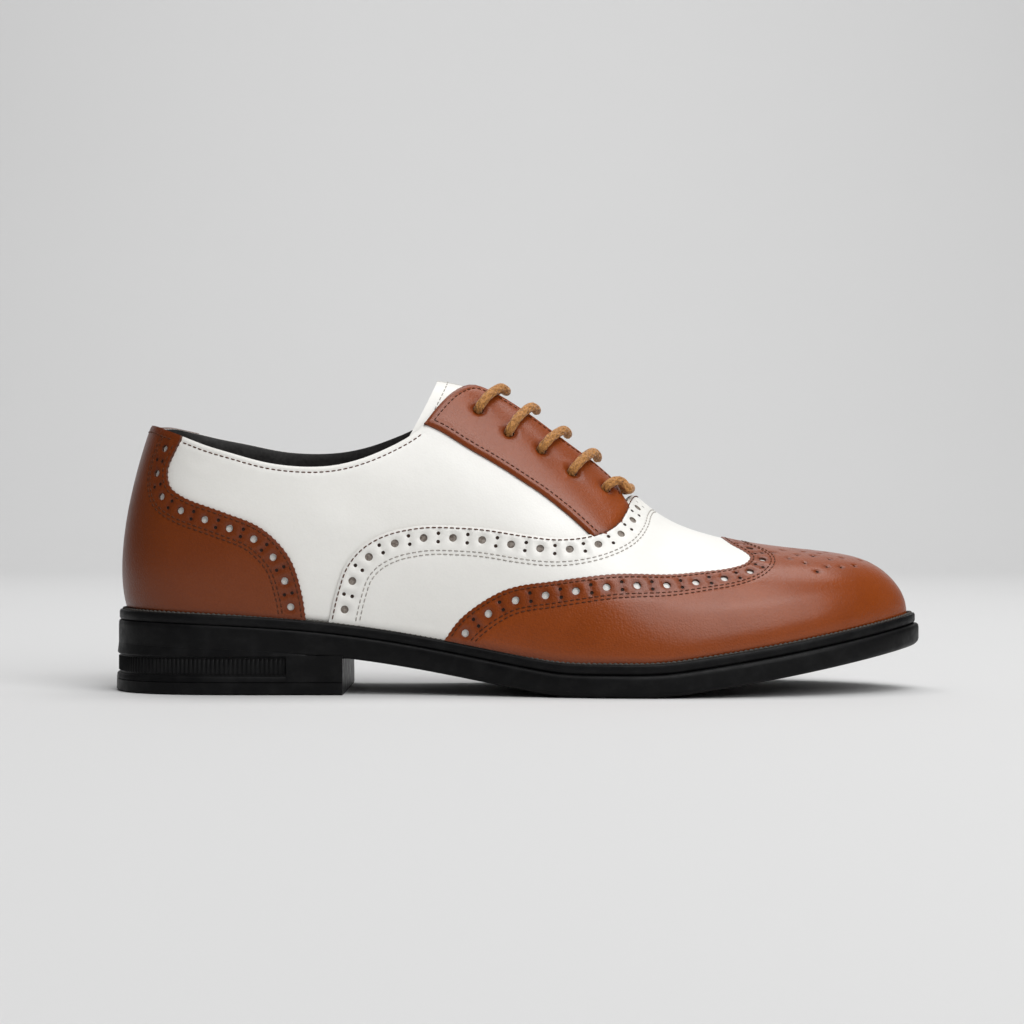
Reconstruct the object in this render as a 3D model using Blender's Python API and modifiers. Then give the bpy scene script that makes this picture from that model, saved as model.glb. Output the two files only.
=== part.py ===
"""Spectator shoe for the right foot: a lace-up with a wing cap, heel counter and eyelet facings.

Metres, +Z up. The toe points along +X, the inner (medial) side of the foot along +Y, and the
shoe stands on z = 0 with the middle of its footprint at the origin.

The upper follows one last. A place on the last is a station, counted from the back of the heel
to the tip of the toe, and a wall share, 0 at the welt and 1 at the instep's ridge.
"""
import math
from collections import namedtuple

import bmesh
import bpy
import numpy as np
from mathutils.geometry import delaunay_2d_cdt

# Driving sizes of the sole
SOLE_LENGTH = 0.302
BALL_WIDTH = 0.106
HEEL_WIDTH = 0.071
HEEL_LIFT = 0.0183
TOE_SPRING = 0.0174
LANDING = 0.0012
OUTSOLE_THICKNESS = 0.0081
OUTSOLE_EDGE_ROUND = 0.0009
WELT_THICKNESS = 0.0036
WELT_MARGIN = 0.0050
WELT_SETBACK = 0.0014
HEEL_SETBACK = 0.0003
WELT_LEDGE = 0.0028

# Driving sizes of the heel block
HEEL_LENGTH = 0.0872
HEEL_FLARE = 0.0008
HEEL_EDGE_ROUND = 0.0006
BAND_BOTTOM = 0.0068
BAND_HEIGHT = 0.0071
BAND_DEPTH = 0.0009
BAND_TO_BREAST = 0.0205
RIB_PITCH = 0.00165
RIB_DEPTH = 0.0005

# Driving sizes of the upper
INSTEP_RISE = 0.090
TOE_BOX_RISE = 0.0365
UPPER_WALL = 0.0022
VAMP_LEATHER = 0.0010
OVERLAY_LEATHER = 0.0013
TONGUE_WALL = 0.0024
INSOLE_THICKNESS = 0.0026

# Driving sizes of the lacing
EYELET_DIAMETER = 0.0050
LACE_DIAMETER = 0.0034

# Clearances
SEAM_GAP = 0.0003
OVERLAY_GAP = 0.0004
TONGUE_CLEARANCE = 0.0006
INSOLE_CLEARANCE = 0.0011
LACE_CLEARANCE = 0.0006

# Derived heights over the tread's underside
WELT_FOOT = OUTSOLE_THICKNESS + SEAM_GAP
BED = WELT_FOOT + WELT_THICKNESS
UPPER_FOOT = BED + SEAM_GAP
OVERLAY_TOP = OVERLAY_GAP + OVERLAY_LEATHER

# One row for each station of the last, from the back of the heel to the tip of the toe.
# along: share of SOLE_LENGTH. lateral, medial: outline's half widths, shares of the local width,
# which goes from HEEL_WIDTH to BALL_WIDTH by fore. heel_up, toe_up: underside, shares of HEEL_LIFT
# and TOE_SPRING. instep, toe_box: rise of the ridge over the welt, shares of INSTEP_RISE and
# TOE_BOX_RISE. mouth, foot_out, top_out: how far the section's handles stand out, shares of its
# reach. foot_up, top_down: the handles' heights, shares of the rise. ridge: shift of the ridge to
# the inner side, share of BALL_WIDTH. margin: share of WELT_MARGIN.
Station = namedtuple("Station", "along lateral medial fore heel_up toe_up instep toe_box mouth "
                                "foot_out foot_up top_out top_down ridge margin")
STATIONS = (
    Station(.0000, .000, .000, .00, 1.00, .000, .972, .000, .47, .17, .17, .54, .44, .000, 1.08),
    Station(.0083, .197, .197, .00, 1.00, .000, .972, .000, .47, .17, .17, .54, .44, .000, 1.08),
    Station(.0331, .366, .359, .00, .995, .000, .976, .000, .52, .16, .18, .52, .44, .000, 1.02),
    Station(.0762, .472, .458, .00, .973, .000, .978, .000, .62, .15, .20, .42, .42, .000, .88),
    Station(.1325, .507, .486, .00, .934, .000, .989, .000, .70, .11, .24, .33, .40, .000, .76),
    Station(.1954, .510, .472, .00, .885, .000, 1.00, .000, .76, .08, .27, .28, .38, .005, .67),
    Station(.2616, .483, .423, .10, .798, .000, 1.016, .000, .74, .06, .30, .27, .36, .009, .63),
    Station(.3311, .448, .362, .30, .656, .000, 1.044, .000, .55, .05, .33, .30, .30, .019, .61),
    Station(.4007, .432, .321, .55, .460, .000, 1.106, .000, .25, .04, .38, .36, .16, .028, .64),
    Station(.4702, .439, .323, .80, .235, .000, 1.078, .000, .02, .03, .43, .40, .04, .038, .72),
    Station(.5364, .458, .358, 1.0, .033, .000, .958, .000, .00, .03, .45, .42, .00, .042, .84),
    Station(.6026, .495, .420, 1.0, -.072, -.060, .784, .000, .00, .03, .45, .44, .00, .042, .92),
    Station(.6689, .505, .472, 1.0, .000, .010, .560, .000, .00, .03, .46, .47, .00, .038, .98),
    Station(.7351, .486, .491, 1.0, .000, .175, .200, .630, .00, .04, .50, .52, .00, .033, 1.0),
    Station(.7980, .448, .472, 1.0, .000, .350, .000, .945, .00, .05, .54, .58, .00, .028, 1.0),
    Station(.8543, .394, .425, 1.0, .000, .525, .000, .817, .00, .06, .58, .63, .00, .024, 1.0),
    Station(.9040, .324, .352, 1.0, .000, .690, .000, .704, .00, .06, .60, .66, .00, .019, 1.05),
    Station(.9454, .239, .259, 1.0, .000, .828, .000, .565, .00, .05, .60, .66, .00, .011, 1.16),
    Station(.9785, .132, .142, 1.0, .000, .940, .000, .325, .00, .04, .60, .62, .00, .005, 1.24),
    Station(1.000, .000, .000, 1.0, .000, 1.00, .000, .000, .00, .04, .60, .60, .00, .000, 1.25),
)
TIP = len(STATIONS) - 1
# Columns that change sign past the heel's back or past the toe's tip
SIGN_AT_HEEL = {"lateral": -1, "medial": -1, "ridge": -1}
SIGN_AT_TOE = {"lateral": -1, "medial": -1, "ridge": -1, "toe_box": -1}

# Seams on the last, each mark a station and a wall share
Mark = namedtuple("Mark", "station wall")
TopMark = namedtuple("TopMark", "station wall medial_rise")
# The topline round the collar and up the facing to the throat, the inner side a little higher
TOPLINE = (
    TopMark(0.00, .826, .000), TopMark(1.10, .826, .000), TopMark(2.12, .814, .010),
    TopMark(3.10, .780, .022), TopMark(4.16, .714, .045), TopMark(5.20, .651, .060),
    TopMark(6.16, .634, .065), TopMark(7.00, .664, .055), TopMark(7.66, .714, .038),
    TopMark(7.94, .786, .032), TopMark(8.30, .886, .026), TopMark(8.60, .940, .018),
    TopMark(8.90, .926, .020), TopMark(9.40, .890, .022), TopMark(10.2, .866, .020),
    TopMark(10.8, .870, .020), TopMark(11.14, .858, .014), TopMark(11.27, .790, .004),
    TopMark(11.36, .750, .000),
)
# The back edge of the vamp: up from the waist, along under the facing, round the throat
SWAN_SEAM = (
    Mark(6.14, .000), Mark(6.26, .130), Mark(6.44, .246), Mark(6.74, .318), Mark(7.12, .354),
    Mark(7.60, .362), Mark(8.50, .349), Mark(9.46, .354), Mark(10.18, .392), Mark(10.72, .455),
    Mark(11.06, .536), Mark(11.26, .640), Mark(11.36, .750), Mark(11.46, .870), Mark(11.56, 1.00),
)
# The back edge of the wing cap: up from the wing's end, to the peak on the ridge
WING_SEAM = (
    Mark(8.12, .000), Mark(8.38, .072), Mark(9.06, .168), Mark(10.0, .240), Mark(10.78, .302),
    Mark(11.98, .420), Mark(12.76, .490), Mark(13.24, .532), Mark(13.60, .590), Mark(13.74, .668),
    Mark(13.62, .740), Mark(13.40, .816), Mark(13.28, .910), Mark(13.26, 1.00),
)
# The front edge of the heel counter: up from the welt, back and up to the topline
COUNTER_SEAM = (
    Mark(5.74, .000), Mark(5.66, .126), Mark(5.44, .276), Mark(4.94, .398), Mark(4.22, .472),
    Mark(3.30, .550), Mark(2.90, .600), Mark(2.78, .660), Mark(2.90, .706), Mark(3.12, .764),
)
# The lower edge of an eyelet facing, from its back corner on the topline to the vamp
FACING_SEAM = (
    Mark(7.98, .694), Mark(8.58, .604), Mark(9.34, .540), Mark(9.90, .512), Mark(10.28, .486),
)
FACING_CORNER = 7.74
FACING_FOOT = 10.70
EYELETS = (
    Mark(8.66, .776), Mark(9.20, .700), Mark(9.78, .692), Mark(10.34, .676), Mark(10.96, .720),
)
# The tongue's side edges, from its root under the vamp to its top
TONGUE_EDGE = (
    Mark(12.20, .800), Mark(11.30, .800), Mark(10.30, .740), Mark(9.20, .680), Mark(7.95, .600),
)
TONGUE_LEAN = 0.55
LACE_LEAN = 0.46
# Knots of half a lace bar. reach: 0 at its eyelet, 1 at the facing's edge, 2 at the ridge. height: a
# share of its ride over the last
LaceKnot = namedtuple("LaceKnot", "reach height")
LACE_KNOTS = (
    LaceKnot(0.00, 0.70), LaceKnot(0.26, 1.12), LaceKnot(0.62, 1.08), LaceKnot(1.00, 1.02),
    LaceKnot(1.45, 0.72), LaceKnot(2.00, 0.46),
)
# Where the heel's sections turn about, in heel widths from the back
TURN_SHARE = 0.507
# How much of the ridge's shift a section's upper handle takes
HANDLE_SHIFT = 0.8
# What is left of a section's drop from its ridge where the foot closes it
CLOSED_DROP = 0.3

# The overlays' lower edge, a wall share over the welt
OVERLAY_FOOT = 0.015

# How finely the pieces are divided
STATION_LINES = np.arange(0, 2 * TIP + 1) / 2
WALL_LINES = np.array((0, .11, .23, .36, .50, .63, .75, .86, 1))
SEAM_STEP = 0.010
TONGUE_ROWS = 13
TONGUE_COLUMNS = 11
EYELET_SIDES = 8
LACE_POINTS = 13
# The pattern's flat chart: about how long a station and the whole wall are
CHART_STATION = 0.017
CHART_WALL = 0.085
# Points closer than this are one point, and marks of the chart closer than this are one mark
WELD = 0.00002
SAME_MARK = 0.0001
# Steps for slopes on the last and for telling the ridge and the toe's tip
SLOPE_STEP = 0.002
SHARP_EDGE = 35
FINE_STEPS = 600
CURVE_STEPS = 12
LATERAL = -1
MEDIAL = 1


def read(column, station, slope=False):
    """Read a column of the table at any station, as an even cubic spline."""
    values = np.array([getattr(row, column) for row in STATIONS])
    before = values[1] * SIGN_AT_HEEL.get(column, 1)
    after = values[-2] * SIGN_AT_TOE.get(column, 1)
    values = np.concatenate(((before,), values, (after,)))
    station = np.asarray(station, dtype=float)
    first = np.clip(np.floor(station).astype(int), 0, TIP - 1)
    f = station - first
    if slope:
        weights = (-(1 - f) ** 2 / 2, (3 * f * f - 4 * f) / 2, (1 + 2 * f - 3 * f * f) / 2, f * f / 2)
    else:
        weights = ((1 - f) ** 3 / 6, (3 * f ** 3 - 6 * f * f + 4) / 6,
                   (1 + 3 * f + 3 * f * f - 3 * f ** 3) / 6, f ** 3 / 6)
    return sum(weight * values[first + k] for k, weight in enumerate(weights))


ALONG_START = read("along", 0)
ALONG_SCALE = SOLE_LENGTH / (read("along", TIP) - ALONG_START)


def half_width(side, station):
    """Half width of the outsole on one side, and its slope by station."""
    fore = read("fore", station)
    local = HEEL_WIDTH + (BALL_WIDTH - HEEL_WIDTH) * fore
    local_slope = (BALL_WIDTH - HEEL_WIDTH) * read("fore", station, slope=True)
    share = np.where(side < 0, read("lateral", station), read("medial", station))
    lateral_slope = read("lateral", station, slope=True)
    share_slope = np.where(side < 0, lateral_slope, read("medial", station, slope=True))
    return share * local, share_slope * local + share * local_slope


WIDEST_LATERAL = half_width(LATERAL, STATION_LINES)[0].max()
WIDEST_MEDIAL = half_width(MEDIAL, STATION_LINES)[0].max()
SIDE_SHIFT = (WIDEST_LATERAL - WIDEST_MEDIAL) / 2


def sole_outline(side, station, inset):
    """Plan of the outsole's edge, moved in by an inset."""
    side = np.asarray(side, dtype=float)
    along = (read("along", station) - ALONG_START) * ALONG_SCALE - SOLE_LENGTH / 2
    along_slope = read("along", station, slope=True) * ALONG_SCALE
    width, width_slope = half_width(side, station)
    length = np.hypot(along_slope, width_slope)
    x = along + inset * width_slope / length
    y = side * (width - inset * along_slope / length)
    return x, y + SIDE_SHIFT


FINE_STATIONS = np.linspace(0, TIP, 40 * TIP + 1)
FINE_ALONG = sole_outline(LATERAL, FINE_STATIONS, 0)[0]


def station_at(x):
    """The station of a place along the sole."""
    return np.interp(x, FINE_ALONG, FINE_STATIONS)


def underside(x):
    """Height of the tread over the floor, flat where it rests under the ball, with soft ends."""
    station = station_at(x)
    height = HEEL_LIFT * read("heel_up", station) + TOE_SPRING * read("toe_up", station)
    soft = np.clip(height + LANDING, 0, 2 * LANDING) ** 2 / (4 * LANDING)
    return np.where(height > LANDING, height, soft)


def last_point(side, station, wall, closed):
    """A point on the last. Closed sections run over the foot where the collar is open."""
    margin = WELT_MARGIN * read("margin", station)
    fx, fy = sole_outline(side, station, margin)
    other_x, _ = sole_outline(-np.asarray(side), station, margin)
    fy = fy - SIDE_SHIFT
    turn_centre = HEEL_WIDTH * TURN_SHARE - SOLE_LENGTH / 2
    cx = np.maximum(fx, turn_centre)
    ridge_x = (cx + np.maximum(other_x, turn_centre)) / 2 - cx
    reach = np.hypot(fx - cx, fy)
    out_x = np.where(reach > 0, (fx - cx) / np.maximum(reach, 1e-12), 0)
    out_y = np.where(reach > 0, fy / np.maximum(reach, 1e-12), 0)
    foot = underside(fx) + UPPER_FOOT
    ridge_foot = (underside(other_x) - underside(fx)) / 2
    rise = INSTEP_RISE * read("instep", station) + TOE_BOX_RISE * read("toe_box", station)
    ridge = BALL_WIDTH * read("ridge", station)
    mouth = read("mouth", station)
    shoulder = mouth + read("top_out", station)
    drop = read("top_down", station)
    if closed:
        mouth = mouth * 0
        drop = drop * CLOSED_DROP
    handles = (
        (1.0, 0, 0),
        (1.0 + read("foot_out", station), 0, read("foot_up", station)),
        (shoulder, HANDLE_SHIFT, 1 - drop),
        (mouth, 1, 1),
    )
    weights = ((1 - wall) ** 3, 3 * wall * (1 - wall) ** 2, 3 * wall ** 2 * (1 - wall), wall ** 3)
    x = y = z = 0
    for weight, (out, shift, up) in zip(weights, handles):
        x = x + weight * (cx + out_x * reach * out + ridge_x * shift)
        y = y + weight * (out_y * reach * out + ridge * shift)
        z = z + weight * (foot + rise * up + ridge_foot * shift)
    return np.stack(np.broadcast_arrays(x, y + SIDE_SHIFT, z), axis=-1)


def one_sided_frame(side, station, wall, closed):
    """A point on the last with its two tangents and its normal, as one side has them."""
    step = SLOPE_STEP
    ahead = np.minimum(station + step, TIP - step)
    behind = np.maximum(ahead - 2 * step, 0)
    above = np.minimum(wall + step, 1)
    below = np.maximum(above - 2 * step, 0)
    along = last_point(side, ahead, wall, closed) - last_point(side, behind, wall, closed)
    along = along / (ahead - behind)[..., None]
    up = last_point(side, station, above, closed) - last_point(side, station, below, closed)
    up = up / (above - below)[..., None]
    normal = np.cross(along, up) * -side[..., None]
    length = np.linalg.norm(normal, axis=-1)
    tip = (station > TIP - 4 * step) | (length < 1e-9)
    normal = np.where(tip[..., None], (1.0, 0, 0), normal / np.maximum(length, 1e-9)[..., None])
    return last_point(side, station, wall, closed), along, up, normal


def last_frame(side, station, wall, closed=False):
    """A point on the last with its two tangents and its outward normal, one normal at the ridge."""
    side, station, wall = np.broadcast_arrays(*(np.asarray(v, dtype=float) for v in (side, station, wall)))
    point, along, up, normal = one_sided_frame(side, station, wall, closed)
    _, _, _, other = one_sided_frame(-side, station, wall, closed)
    both = normal + other
    both = both / np.maximum(np.linalg.norm(both, axis=-1), 1e-9)[..., None]
    on_ridge = (wall > 1 - SAME_MARK) & (read("mouth", station) < SLOPE_STEP)
    return point, along, up, np.where(on_ridge[..., None], both, normal)


def on_last(side, station, wall, lift, closed=False):
    """A point at a height over the last's surface."""
    point, _, _, normal = last_frame(side, station, wall, closed)
    return point + normal * np.asarray(lift, dtype=float)[..., None]


def smooth_line(marks):
    """Points along a centripetal curve through the marks, a seam step apart."""
    scale = np.array((CHART_STATION, CHART_WALL))
    knots = np.array([mark[:2] for mark in marks]) * scale
    ends = np.vstack((2 * knots[0] - knots[1], knots, 2 * knots[-1] - knots[-2]))
    line = []
    for a, b, c, d in zip(ends, ends[1:], ends[2:], ends[3:]):
        t1 = np.linalg.norm(b - a) ** 0.5
        t2 = t1 + np.linalg.norm(c - b) ** 0.5
        t3 = t2 + np.linalg.norm(d - c) ** 0.5
        steps = max(1, round(np.linalg.norm(c - b) / SEAM_STEP))
        for k in range(steps):
            t = t1 + (t2 - t1) * k / steps
            ab = a + (b - a) * t / t1
            bc = b + (c - b) * (t - t1) / (t2 - t1)
            cd = c + (d - c) * (t - t2) / (t3 - t2)
            abc = ab + (bc - ab) * t / t2
            bcd = bc + (cd - bc) * (t - t1) / (t3 - t1)
            line.append(abc + (bcd - abc) * (t - t1) / (t2 - t1))
    line.append(knots[-1])
    return np.array(line) / scale


def topline(side):
    """The topline on one side, as points of the chart."""
    extra = 1 if side > 0 else 0
    return smooth_line([Mark(m.station, m.wall + extra * m.medial_rise) for m in TOPLINE])


def shifted(side, line, distance):
    """Move a line across itself on the last's surface, to the left of its way in the chart."""
    line = np.asarray(line)
    course = np.gradient(line, axis=0)
    _, along, up, normal = last_frame(side, line[:, 0], line[:, 1])
    way = along * course[:, :1] + up * course[:, 1:]
    left = np.cross(normal, way) * -side
    left = left / np.linalg.norm(left, axis=1)[:, None]
    aa = (along * along).sum(1)
    au = (along * up).sum(1)
    uu = (up * up).sum(1)
    la = (left * along).sum(1)
    lu = (left * up).sum(1)
    determinant = aa * uu - au * au
    move = np.stack(((la * uu - lu * au) / determinant, (lu * aa - la * au) / determinant), axis=1)
    return line + move * distance


def eyelet_loop(side, eyelet):
    """The round hole of an eyelet, as points of the chart."""
    _, along, up, normal = last_frame(side, eyelet.station, eyelet.wall)
    matrix = np.stack((along, up, normal), axis=1)
    across = np.cross(normal, along)
    across = across / np.linalg.norm(across)
    ahead = along / np.linalg.norm(along)
    loop = []
    for k in range(EYELET_SIDES):
        angle = 2 * math.pi * k / EYELET_SIDES
        move = (ahead * math.cos(angle) + across * math.sin(angle)) * EYELET_DIAMETER / 2
        share = np.linalg.solve(matrix, move)
        loop.append((eyelet.station + share[0], eyelet.wall + share[1]))
    return np.array(loop)


def inside(point, loop):
    """Whether a point of the chart lies inside a closed loop."""
    x, y = point
    x1, y1 = loop[:, 0], loop[:, 1]
    x2, y2 = np.roll(x1, -1), np.roll(y1, -1)
    spans = (y1 > y) != (y2 > y)
    rows = np.where(spans)[0]
    crossing = x1[rows] + (y - y1[rows]) * (x2[rows] - x1[rows]) / (y2[rows] - y1[rows])
    return bool(np.count_nonzero(crossing > x) % 2)


def cut_pattern(border, holes):
    """Divide a pattern along the last's grid. Returns chart points and triangles."""
    scale = np.array((CHART_STATION, CHART_WALL)) * 1000
    low, high = border.min(axis=0), border.max(axis=0)
    stations = [s for s in STATION_LINES if low[0] - 1 < s < high[0] + 1]
    walls = [w for w in WALL_LINES if low[1] - 0.2 < w < high[1] + 0.2]
    points = [(s, w) for s in stations for w in walls]
    rows = len(walls)
    edges = [(i * rows + j, i * rows + j + 1) for i in range(len(stations)) for j in range(rows - 1)]
    edges += [(i * rows + j, i * rows + j + rows) for i in range(len(stations) - 1) for j in range(rows)]
    for loop in (border, *holes):
        start = len(points)
        points += [tuple(p) for p in loop]
        edges += [(start + k, start + (k + 1) % len(loop)) for k in range(len(loop))]
    flat = [(p[0] * scale[0], p[1] * scale[1]) for p in points]
    placed, _, triangles, _, _, _ = delaunay_2d_cdt(flat, edges, [], 0, 1e-4)
    chart = np.array([tuple(p) for p in placed]) / scale
    kept = []
    for triangle in triangles:
        middle = chart[list(triangle)].mean(axis=0)
        if inside(middle, border) and not any(inside(middle, hole) for hole in holes):
            kept.append(tuple(triangle))
    return chart, kept


def new_object(name, mesh, material, collection):
    """Put a mesh in a collection as an object with one material."""
    item = bpy.data.objects.new(name, mesh)
    collection.objects.link(item)
    if material:
        mesh.materials.append(material)
    return item


def finish_mesh(shape, name):
    """Weld a bmesh, make it a mesh, and shade it smooth but for its sharp edges."""
    bmesh.ops.remove_doubles(shape, verts=shape.verts[:], dist=WELD)
    mesh = bpy.data.meshes.new(name)
    shape.to_mesh(mesh)
    shape.free()
    mesh.shade_smooth()
    mesh.set_sharp_from_angle(angle=math.radians(SHARP_EDGE))
    return mesh


def close_shell(shape, inner_places):
    """Give an open surface its second face and its rim, with the inner places kept on its points."""
    outer_faces = shape.faces[:]
    rims = [edge.link_loops[0] for edge in shape.edges if edge.is_boundary]
    rims = [(loop.vert, loop.link_loop_next.vert) for loop in rims]
    inner = {vert: shape.verts.new(vert[inner_places]) for vert in shape.verts[:]}
    for face in outer_faces:
        shape.faces.new([inner[vert] for vert in reversed(face.verts)])
    for start, end in rims:
        shape.faces.new((end, start, inner[start], inner[end]))


def leather_piece(name, patterns, bottom, thickness, material, collection):
    """Leather cut by patterns on the last, one (side, border, holes) for each side.

    Both faces follow the last's own normals, so the wall is even up to its cut edges.
    """
    shape = bmesh.new()
    inner_places = shape.verts.layers.float_vector.new("inner")
    for side, border, holes in patterns:
        chart, triangles = cut_pattern(border, holes)
        used = sorted({corner for triangle in triangles for corner in triangle})
        outer = on_last(side, chart[used, 0], chart[used, 1], bottom + thickness)
        inner = on_last(side, chart[used, 0], chart[used, 1], bottom)
        verts = {}
        for corner, outer_place, inner_place in zip(used, outer, inner):
            verts[corner] = shape.verts.new(outer_place)
            verts[corner][inner_places] = inner_place
        for triangle in triangles:
            order = triangle if side < 0 else reversed(triangle)
            shape.faces.new([verts[corner] for corner in order])
    bmesh.ops.remove_doubles(shape, verts=shape.verts[:], dist=WELD)
    close_shell(shape, inner_places)
    new_object(name, finish_mesh(shape, name), material, collection)


def along_wall(start, end, wall):
    """A border's run along one wall line, from one station to another."""
    between = [s for s in STATION_LINES if min(start, end) < s < max(start, end)]
    if end < start:
        between.reverse()
    return np.array([(s, wall) for s in (start, *between, end)])


def along_station(station, start, end):
    """A border's run along one station line, from one wall share to another."""
    between = [w for w in WALL_LINES if min(start, end) < w < max(start, end)]
    if end < start:
        between.reverse()
    return np.array([(station, w) for w in (start, *between, end)])


def joined(*runs):
    """Join runs into one border, without a point twice over."""
    points = np.vstack(runs)
    keep = [0]
    for k in range(1, len(points)):
        if np.abs(points[k] - points[keep[-1]]).max() > SAME_MARK:
            keep.append(k)
    if np.abs(points[keep[-1]] - points[0]).max() < SAME_MARK:
        keep.pop()
    return points[keep]


def top_run(side, start, end):
    """The topline's run between two stations."""
    line = topline(side)
    between = line[(line[:, 0] > start + 0.02) & (line[:, 0] < end - 0.02)]
    ends = [(s, np.interp(s, line[:, 0], line[:, 1])) for s in (start, end)]
    return np.vstack((ends[:1], between, ends[1:]))


def throat_run():
    """The swan seam from where it leaves the topline to the ridge."""
    seam = smooth_line(SWAN_SEAM)
    return seam[seam[:, 1] > TOPLINE[-1].wall + SAME_MARK]


def upper_border(side):
    """The whole upper on one side: welt, toe, ridge, throat, topline and back."""
    throat = throat_run()
    return joined(along_wall(0, TIP, 0), along_station(TIP, 0, 1), along_wall(TIP, throat[-1, 0], 1),
                  throat[::-1], top_run(side, 0, TOPLINE[-1].station)[::-1],
                  along_station(0, TOPLINE[0].wall, 0))


def seam_to_ridge(marks, side, distance):
    """A seam from the welt to the ridge, moved across itself, with both ends on the border."""
    seam = shifted(side, smooth_line(marks), distance)
    seam[0] = (seam[0, 0], OVERLAY_FOOT)
    seam[-1] = (seam[-1, 0], 1)
    return seam


def vamp_border(side):
    """The vamp on one side, between the swan seam and the wing cap."""
    swan = seam_to_ridge(SWAN_SEAM, side, 0)
    wing = seam_to_ridge(WING_SEAM, side, SEAM_GAP)
    return joined(along_wall(swan[0, 0], wing[0, 0], OVERLAY_FOOT), wing,
                  along_wall(wing[-1, 0], swan[-1, 0], 1), swan[::-1])


def wing_border(side):
    """The wing cap on one side, from its seam to the tip of the toe."""
    wing = seam_to_ridge(WING_SEAM, side, 0)
    return joined(along_wall(wing[0, 0], TIP, OVERLAY_FOOT), along_station(TIP, OVERLAY_FOOT, 1),
                  along_wall(TIP, wing[-1, 0], 1), wing[::-1])


def counter_border(side):
    """The heel counter on one side, from the back to its front seam."""
    seam = smooth_line(COUNTER_SEAM)
    seam[0] = (seam[0, 0], OVERLAY_FOOT)
    top = top_run(side, 0, COUNTER_SEAM[-1].station)
    return joined(along_wall(0, seam[0, 0], OVERLAY_FOOT), seam, top[::-1],
                  along_station(0, TOPLINE[0].wall, OVERLAY_FOOT))


def facing_border(side):
    """An eyelet facing, between its lower seam, the vamp and the topline."""
    swan = shifted(side, smooth_line(SWAN_SEAM), SEAM_GAP)
    front = swan[(swan[:, 0] > FACING_FOOT) & (swan[:, 1] < TOPLINE[-1].wall - 0.01)]
    top = top_run(side, FACING_CORNER, TOPLINE[-1].station - 0.04)
    low = smooth_line([Mark(*top[0]), *FACING_SEAM, Mark(*front[0])])
    return joined(low, front, top[::-1])


def edge_row(side, stations, inset, height):
    """A row of points along one side of the sole, at a height over the tread's underside."""
    x, y = sole_outline(side, stations, inset)
    return np.stack((x, y, underside(x) + height), axis=1)


def ring(stations, inset, height):
    """The lateral and the medial row of a level of the sole."""
    return edge_row(LATERAL, stations, inset, height), edge_row(MEDIAL, stations, inset, height)


def level_ring(stations, inset, z):
    """The lateral and the medial row of a flat level at one height over the floor."""
    rows = ring(stations, inset, 0)
    for row in rows:
        row[:, 2] = z
    return rows


def sole_piece(name, levels, capped, material, collection):
    """Loft a sole piece through its levels, each a lateral and a medial row of points."""
    shape = bmesh.new()
    loops = []
    for there, back in levels:
        there = [shape.verts.new(p) for p in there]
        back = [shape.verts.new(p) for p in back]
        loops.append((there, back))
    count = len(loops[0][0])
    pairs = list(zip(loops, loops[1:]))
    if not capped:
        pairs.append((loops[-1], loops[0]))
    for low, high in pairs:
        low_loop = low[0] + low[1][::-1]
        high_loop = high[0] + high[1][::-1]
        for k in range(2 * count):
            n = (k + 1) % (2 * count)
            shape.faces.new((low_loop[k], low_loop[n], high_loop[n], high_loop[k]))
    if capped:
        for k in range(count - 1):
            there, back = loops[0]
            shape.faces.new((there[k], back[k], back[k + 1], there[k + 1]))
            there, back = loops[-1]
            shape.faces.new((there[k], there[k + 1], back[k + 1], back[k]))
    bmesh.ops.remove_doubles(shape, verts=shape.verts[:], dist=WELD)
    bmesh.ops.recalc_face_normals(shape, faces=shape.faces[:])
    return new_object(name, finish_mesh(shape, name), material, collection)


def material_of(name, colour, roughness):
    """A plain surface of one colour."""
    material = bpy.data.materials.new(name)
    material.use_nodes = True
    surface = material.node_tree.nodes["Principled BSDF"]
    surface.inputs["Base Color"].default_value = (*colour, 1)
    surface.inputs["Roughness"].default_value = roughness
    surface.inputs["Metallic"].default_value = 0
    return material


def make_upper(material, collection):
    """The hollow upper, open at the collar, the throat and underneath."""
    patterns = [(side, upper_border(side), [eyelet_loop(side, e) for e in EYELETS])
                for side in (LATERAL, MEDIAL)]
    leather_piece("upper", patterns, -UPPER_WALL, UPPER_WALL, material, collection)


def make_vamp(material, collection):
    """The white leather over the forefoot."""
    patterns = [(side, vamp_border(side), []) for side in (LATERAL, MEDIAL)]
    leather_piece("vamp", patterns, OVERLAY_GAP, VAMP_LEATHER, material, collection)


def make_wing_cap(material, collection):
    """The tan toe cap with its two wings."""
    patterns = [(side, wing_border(side), []) for side in (LATERAL, MEDIAL)]
    leather_piece("wing_cap", patterns, OVERLAY_GAP, OVERLAY_LEATHER, material, collection)


def make_heel_counter(material, collection):
    """The tan leather round the back of the heel."""
    patterns = [(side, counter_border(side), []) for side in (LATERAL, MEDIAL)]
    leather_piece("heel_counter", patterns, OVERLAY_GAP, OVERLAY_LEATHER, material, collection)


def make_facings(material, collection):
    """The two tan eyelet facings."""
    for side, name in ((LATERAL, "facing_lateral"), (MEDIAL, "facing_medial")):
        patterns = [(side, facing_border(side), [eyelet_loop(side, e) for e in EYELETS])]
        leather_piece(name, patterns, OVERLAY_GAP, OVERLAY_LEATHER, material, collection)


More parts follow.
